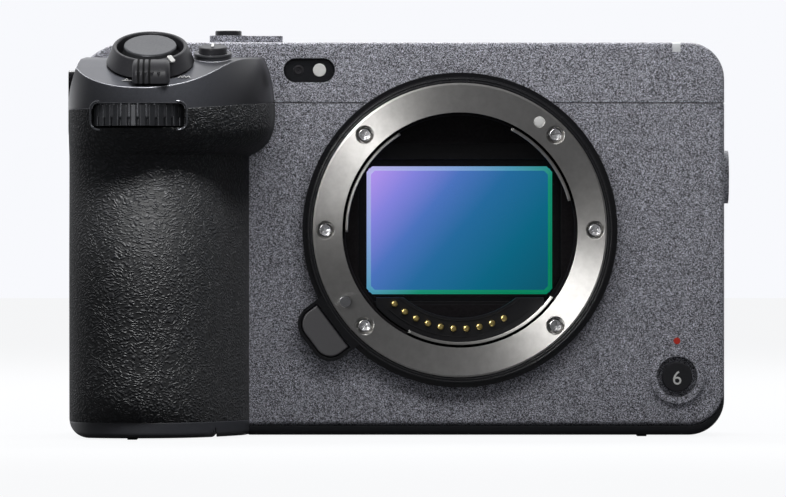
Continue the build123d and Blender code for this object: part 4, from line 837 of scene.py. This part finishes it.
peak_pitch = 0.75
peak_half = 0.38
paint_thick = 0.05
bm = bmesh.new()
for x, y, peaks in ((-4.3, -8.25, 1), (6.7, -7.0, 3)):
    spot = lever_seat @ Matrix.Translation((x, y, 0.02))
    for peak in range(peaks):
        middle = (peak - (peaks - 1) / 2) * peak_pitch
        stroke(bm, [(middle - peak_half, -0.35), (middle, 0.55), (middle + peak_half, -0.35)], 0.26,
               paint_thick, spot)
    if peaks == 1:
        stroke(bm, [(-0.95, -0.42), (0.95, -0.42)], 0.24, paint_thick, spot)
add_piece("zoom_marks", bm, mark_white, "body")


# Dials. Turned metal rims with polished knurls, laid over the plain teeth of both dials, which
# carry them round.
def knurled(bm, matrix, radius, teeth, groove, low, high, bore, bevel=0.45, fine=8):
    """Ring with rounded knurls, bevelled at both ends and closed round its bore."""
    angles = [2 * pi * step / (teeth * fine) for step in range(teeth * fine)]
    waves = [abs(sin(pi * step / fine)) ** 0.6 for step in range(teeth * fine)]

    def rim(inset):
        radii = [radius - inset - groove * (1 - wave) for wave in waves]
        return [(r * cos(a), r * sin(a)) for r, a in zip(radii, angles)]

    def circle(size):
        return [(size * cos(a), size * sin(a)) for a in angles]

    root = radius - groove - bevel
    loops = layered(bm, [(circle(bore), low), (circle(root), low), (rim(bevel), low), (rim(0.0), low + bevel),
                         (rim(0.0), high - bevel), (rim(bevel), high), (circle(root), high),
                         (circle(bore), high)], matrix, capped=False)
    joined(bm, [loops[-1], loops[0]], capped=False)


rim_height = 4.0
knurl_gloss = finish("knurl_gloss", srgb(66, 67, 70), srgb(86, 87, 91), 0.24, 2500, metallic=0.7,
                     radius=0.1)[0]
for node, middle, bore in (("front_dial", (-61.9, -20.8, 0), 1.7), ("rear_dial", (-60.0, 33.2, 0), 1.6)):
    low, high = node_box(node)
    bm = bmesh.new()
    knurled(bm, Matrix.Translation(middle), (high.x - low.x) / 2, teeth=34, groove=0.5,
            low=high.z - rim_height, high=high.z, bore=bore)
    add_piece(node + "_rim", bm, knurl_gloss, node, angle=30)


# Dial window. A thin polished bezel pressed into the grip round the front dial's window, where
# it follows the curved face.
grip_meshes = [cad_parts[name] for name in ("grip_skin", "grip_shoulder")]
window_x = -61.9
window_z = 21.9
wire_radius = 0.24
wire_angles = [2 * pi * step / 8 for step in range(8)]
backward = Vector((0, 1, 0))
bezel_path = []
for x, z in rounded_outline(18.5, 5.4, 1.5, 6):
    origin = Vector((window_x + x, -60.0, window_z + z)) * MM
    hits = [piece.ray_cast(origin, backward) for piece in grip_meshes]
    bezel_path.append(min((hit[1] for hit in hits if hit[0]), key=lambda point: point.y) / MM)
bezel_path = [p for i, p in enumerate(bezel_path) if (p - bezel_path[i - 1]).length > 0.05]
bm = bmesh.new()
rings = []
for index, point in enumerate(bezel_path):
    after = bezel_path[(index + 1) % len(bezel_path)]
    along = (after - bezel_path[index - 1]).normalized()
    side = along.cross(-backward).normalized()
    lift = side.cross(along)
    rings.append([bm.verts.new(point + side * wire_radius * cos(a) + lift * wire_radius * sin(a))
                  for a in wire_angles])
joined(bm, rings + rings[:1], capped=False)
add_piece("dial_bezel", bm, knurl_gloss, "body", angle=60)


# Doors and screen. Textured black mouldings on their hinges, and a gloss pane glued into the
# screen's housing.
door_black = finish("door_black", srgb(30, 30, 33), srgb(44, 44, 48), 0.55, 2200, sharpness=0.25, bump=0.15,
                    radius=0.25)[0]
screen_gloss = finish("screen_pane", srgb(6, 6, 8), srgb(10, 10, 12), 0.06, 400, coat=1.0)[0]
dress(door_black, "battery_door", "door_latch", "card_door", "audio_cover", "hdmi_cover", "usb_cover",
      "screen_hinge", "screen_housing")
dress(screen_gloss, "screen_glass")


# Lamps on their pieces. Flags keep the lamp at the upper left to the metal, the one over the
# grip to the grip, the small one to details, and the one behind off the grip's top, which has a
# weaker one of its own.
def pieces(*names):
    """CAD nodes and finished pieces of those names."""
    return [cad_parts[name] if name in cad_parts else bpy.data.objects[name] for name in names]


def light_link(holder, reached, state="INCLUDE"):
    """Keeps a lamp to some pieces, or off them, as a flag in front of it would."""
    group = bpy.data.collections.new(holder.name + "_pieces")
    for piece in reached:
        group.objects.link(piece)
    for item in group.collection_objects:
        item.light_linking.link_state = state
    holder.light_linking.receiver_collection = group


top_controls = pieces("zoom_lever", "lever_tab", "shutter_button", "custom_button", "custom_rim")
shelf_pieces = pieces("grip_shoulder") + top_controls
light_link(metal_light, pieces("mount_ring", "lock_pin", "contact_pins", "tab_crests", "flange_screws"))
light_link(grip_light, pieces("grip_skin", "grip_base", "grip_shoulder", "dial_bezel"))
light_link(detail_light, top_controls + pieces("front_dial", "front_dial_rim", "dial_bezel", "flange_screws",
                                               "trim_bands", "lens_release"))
light_link(back_light, shelf_pieces + pieces("grip_skin"), "EXCLUDE")
light_link(shelf_light, shelf_pieces)
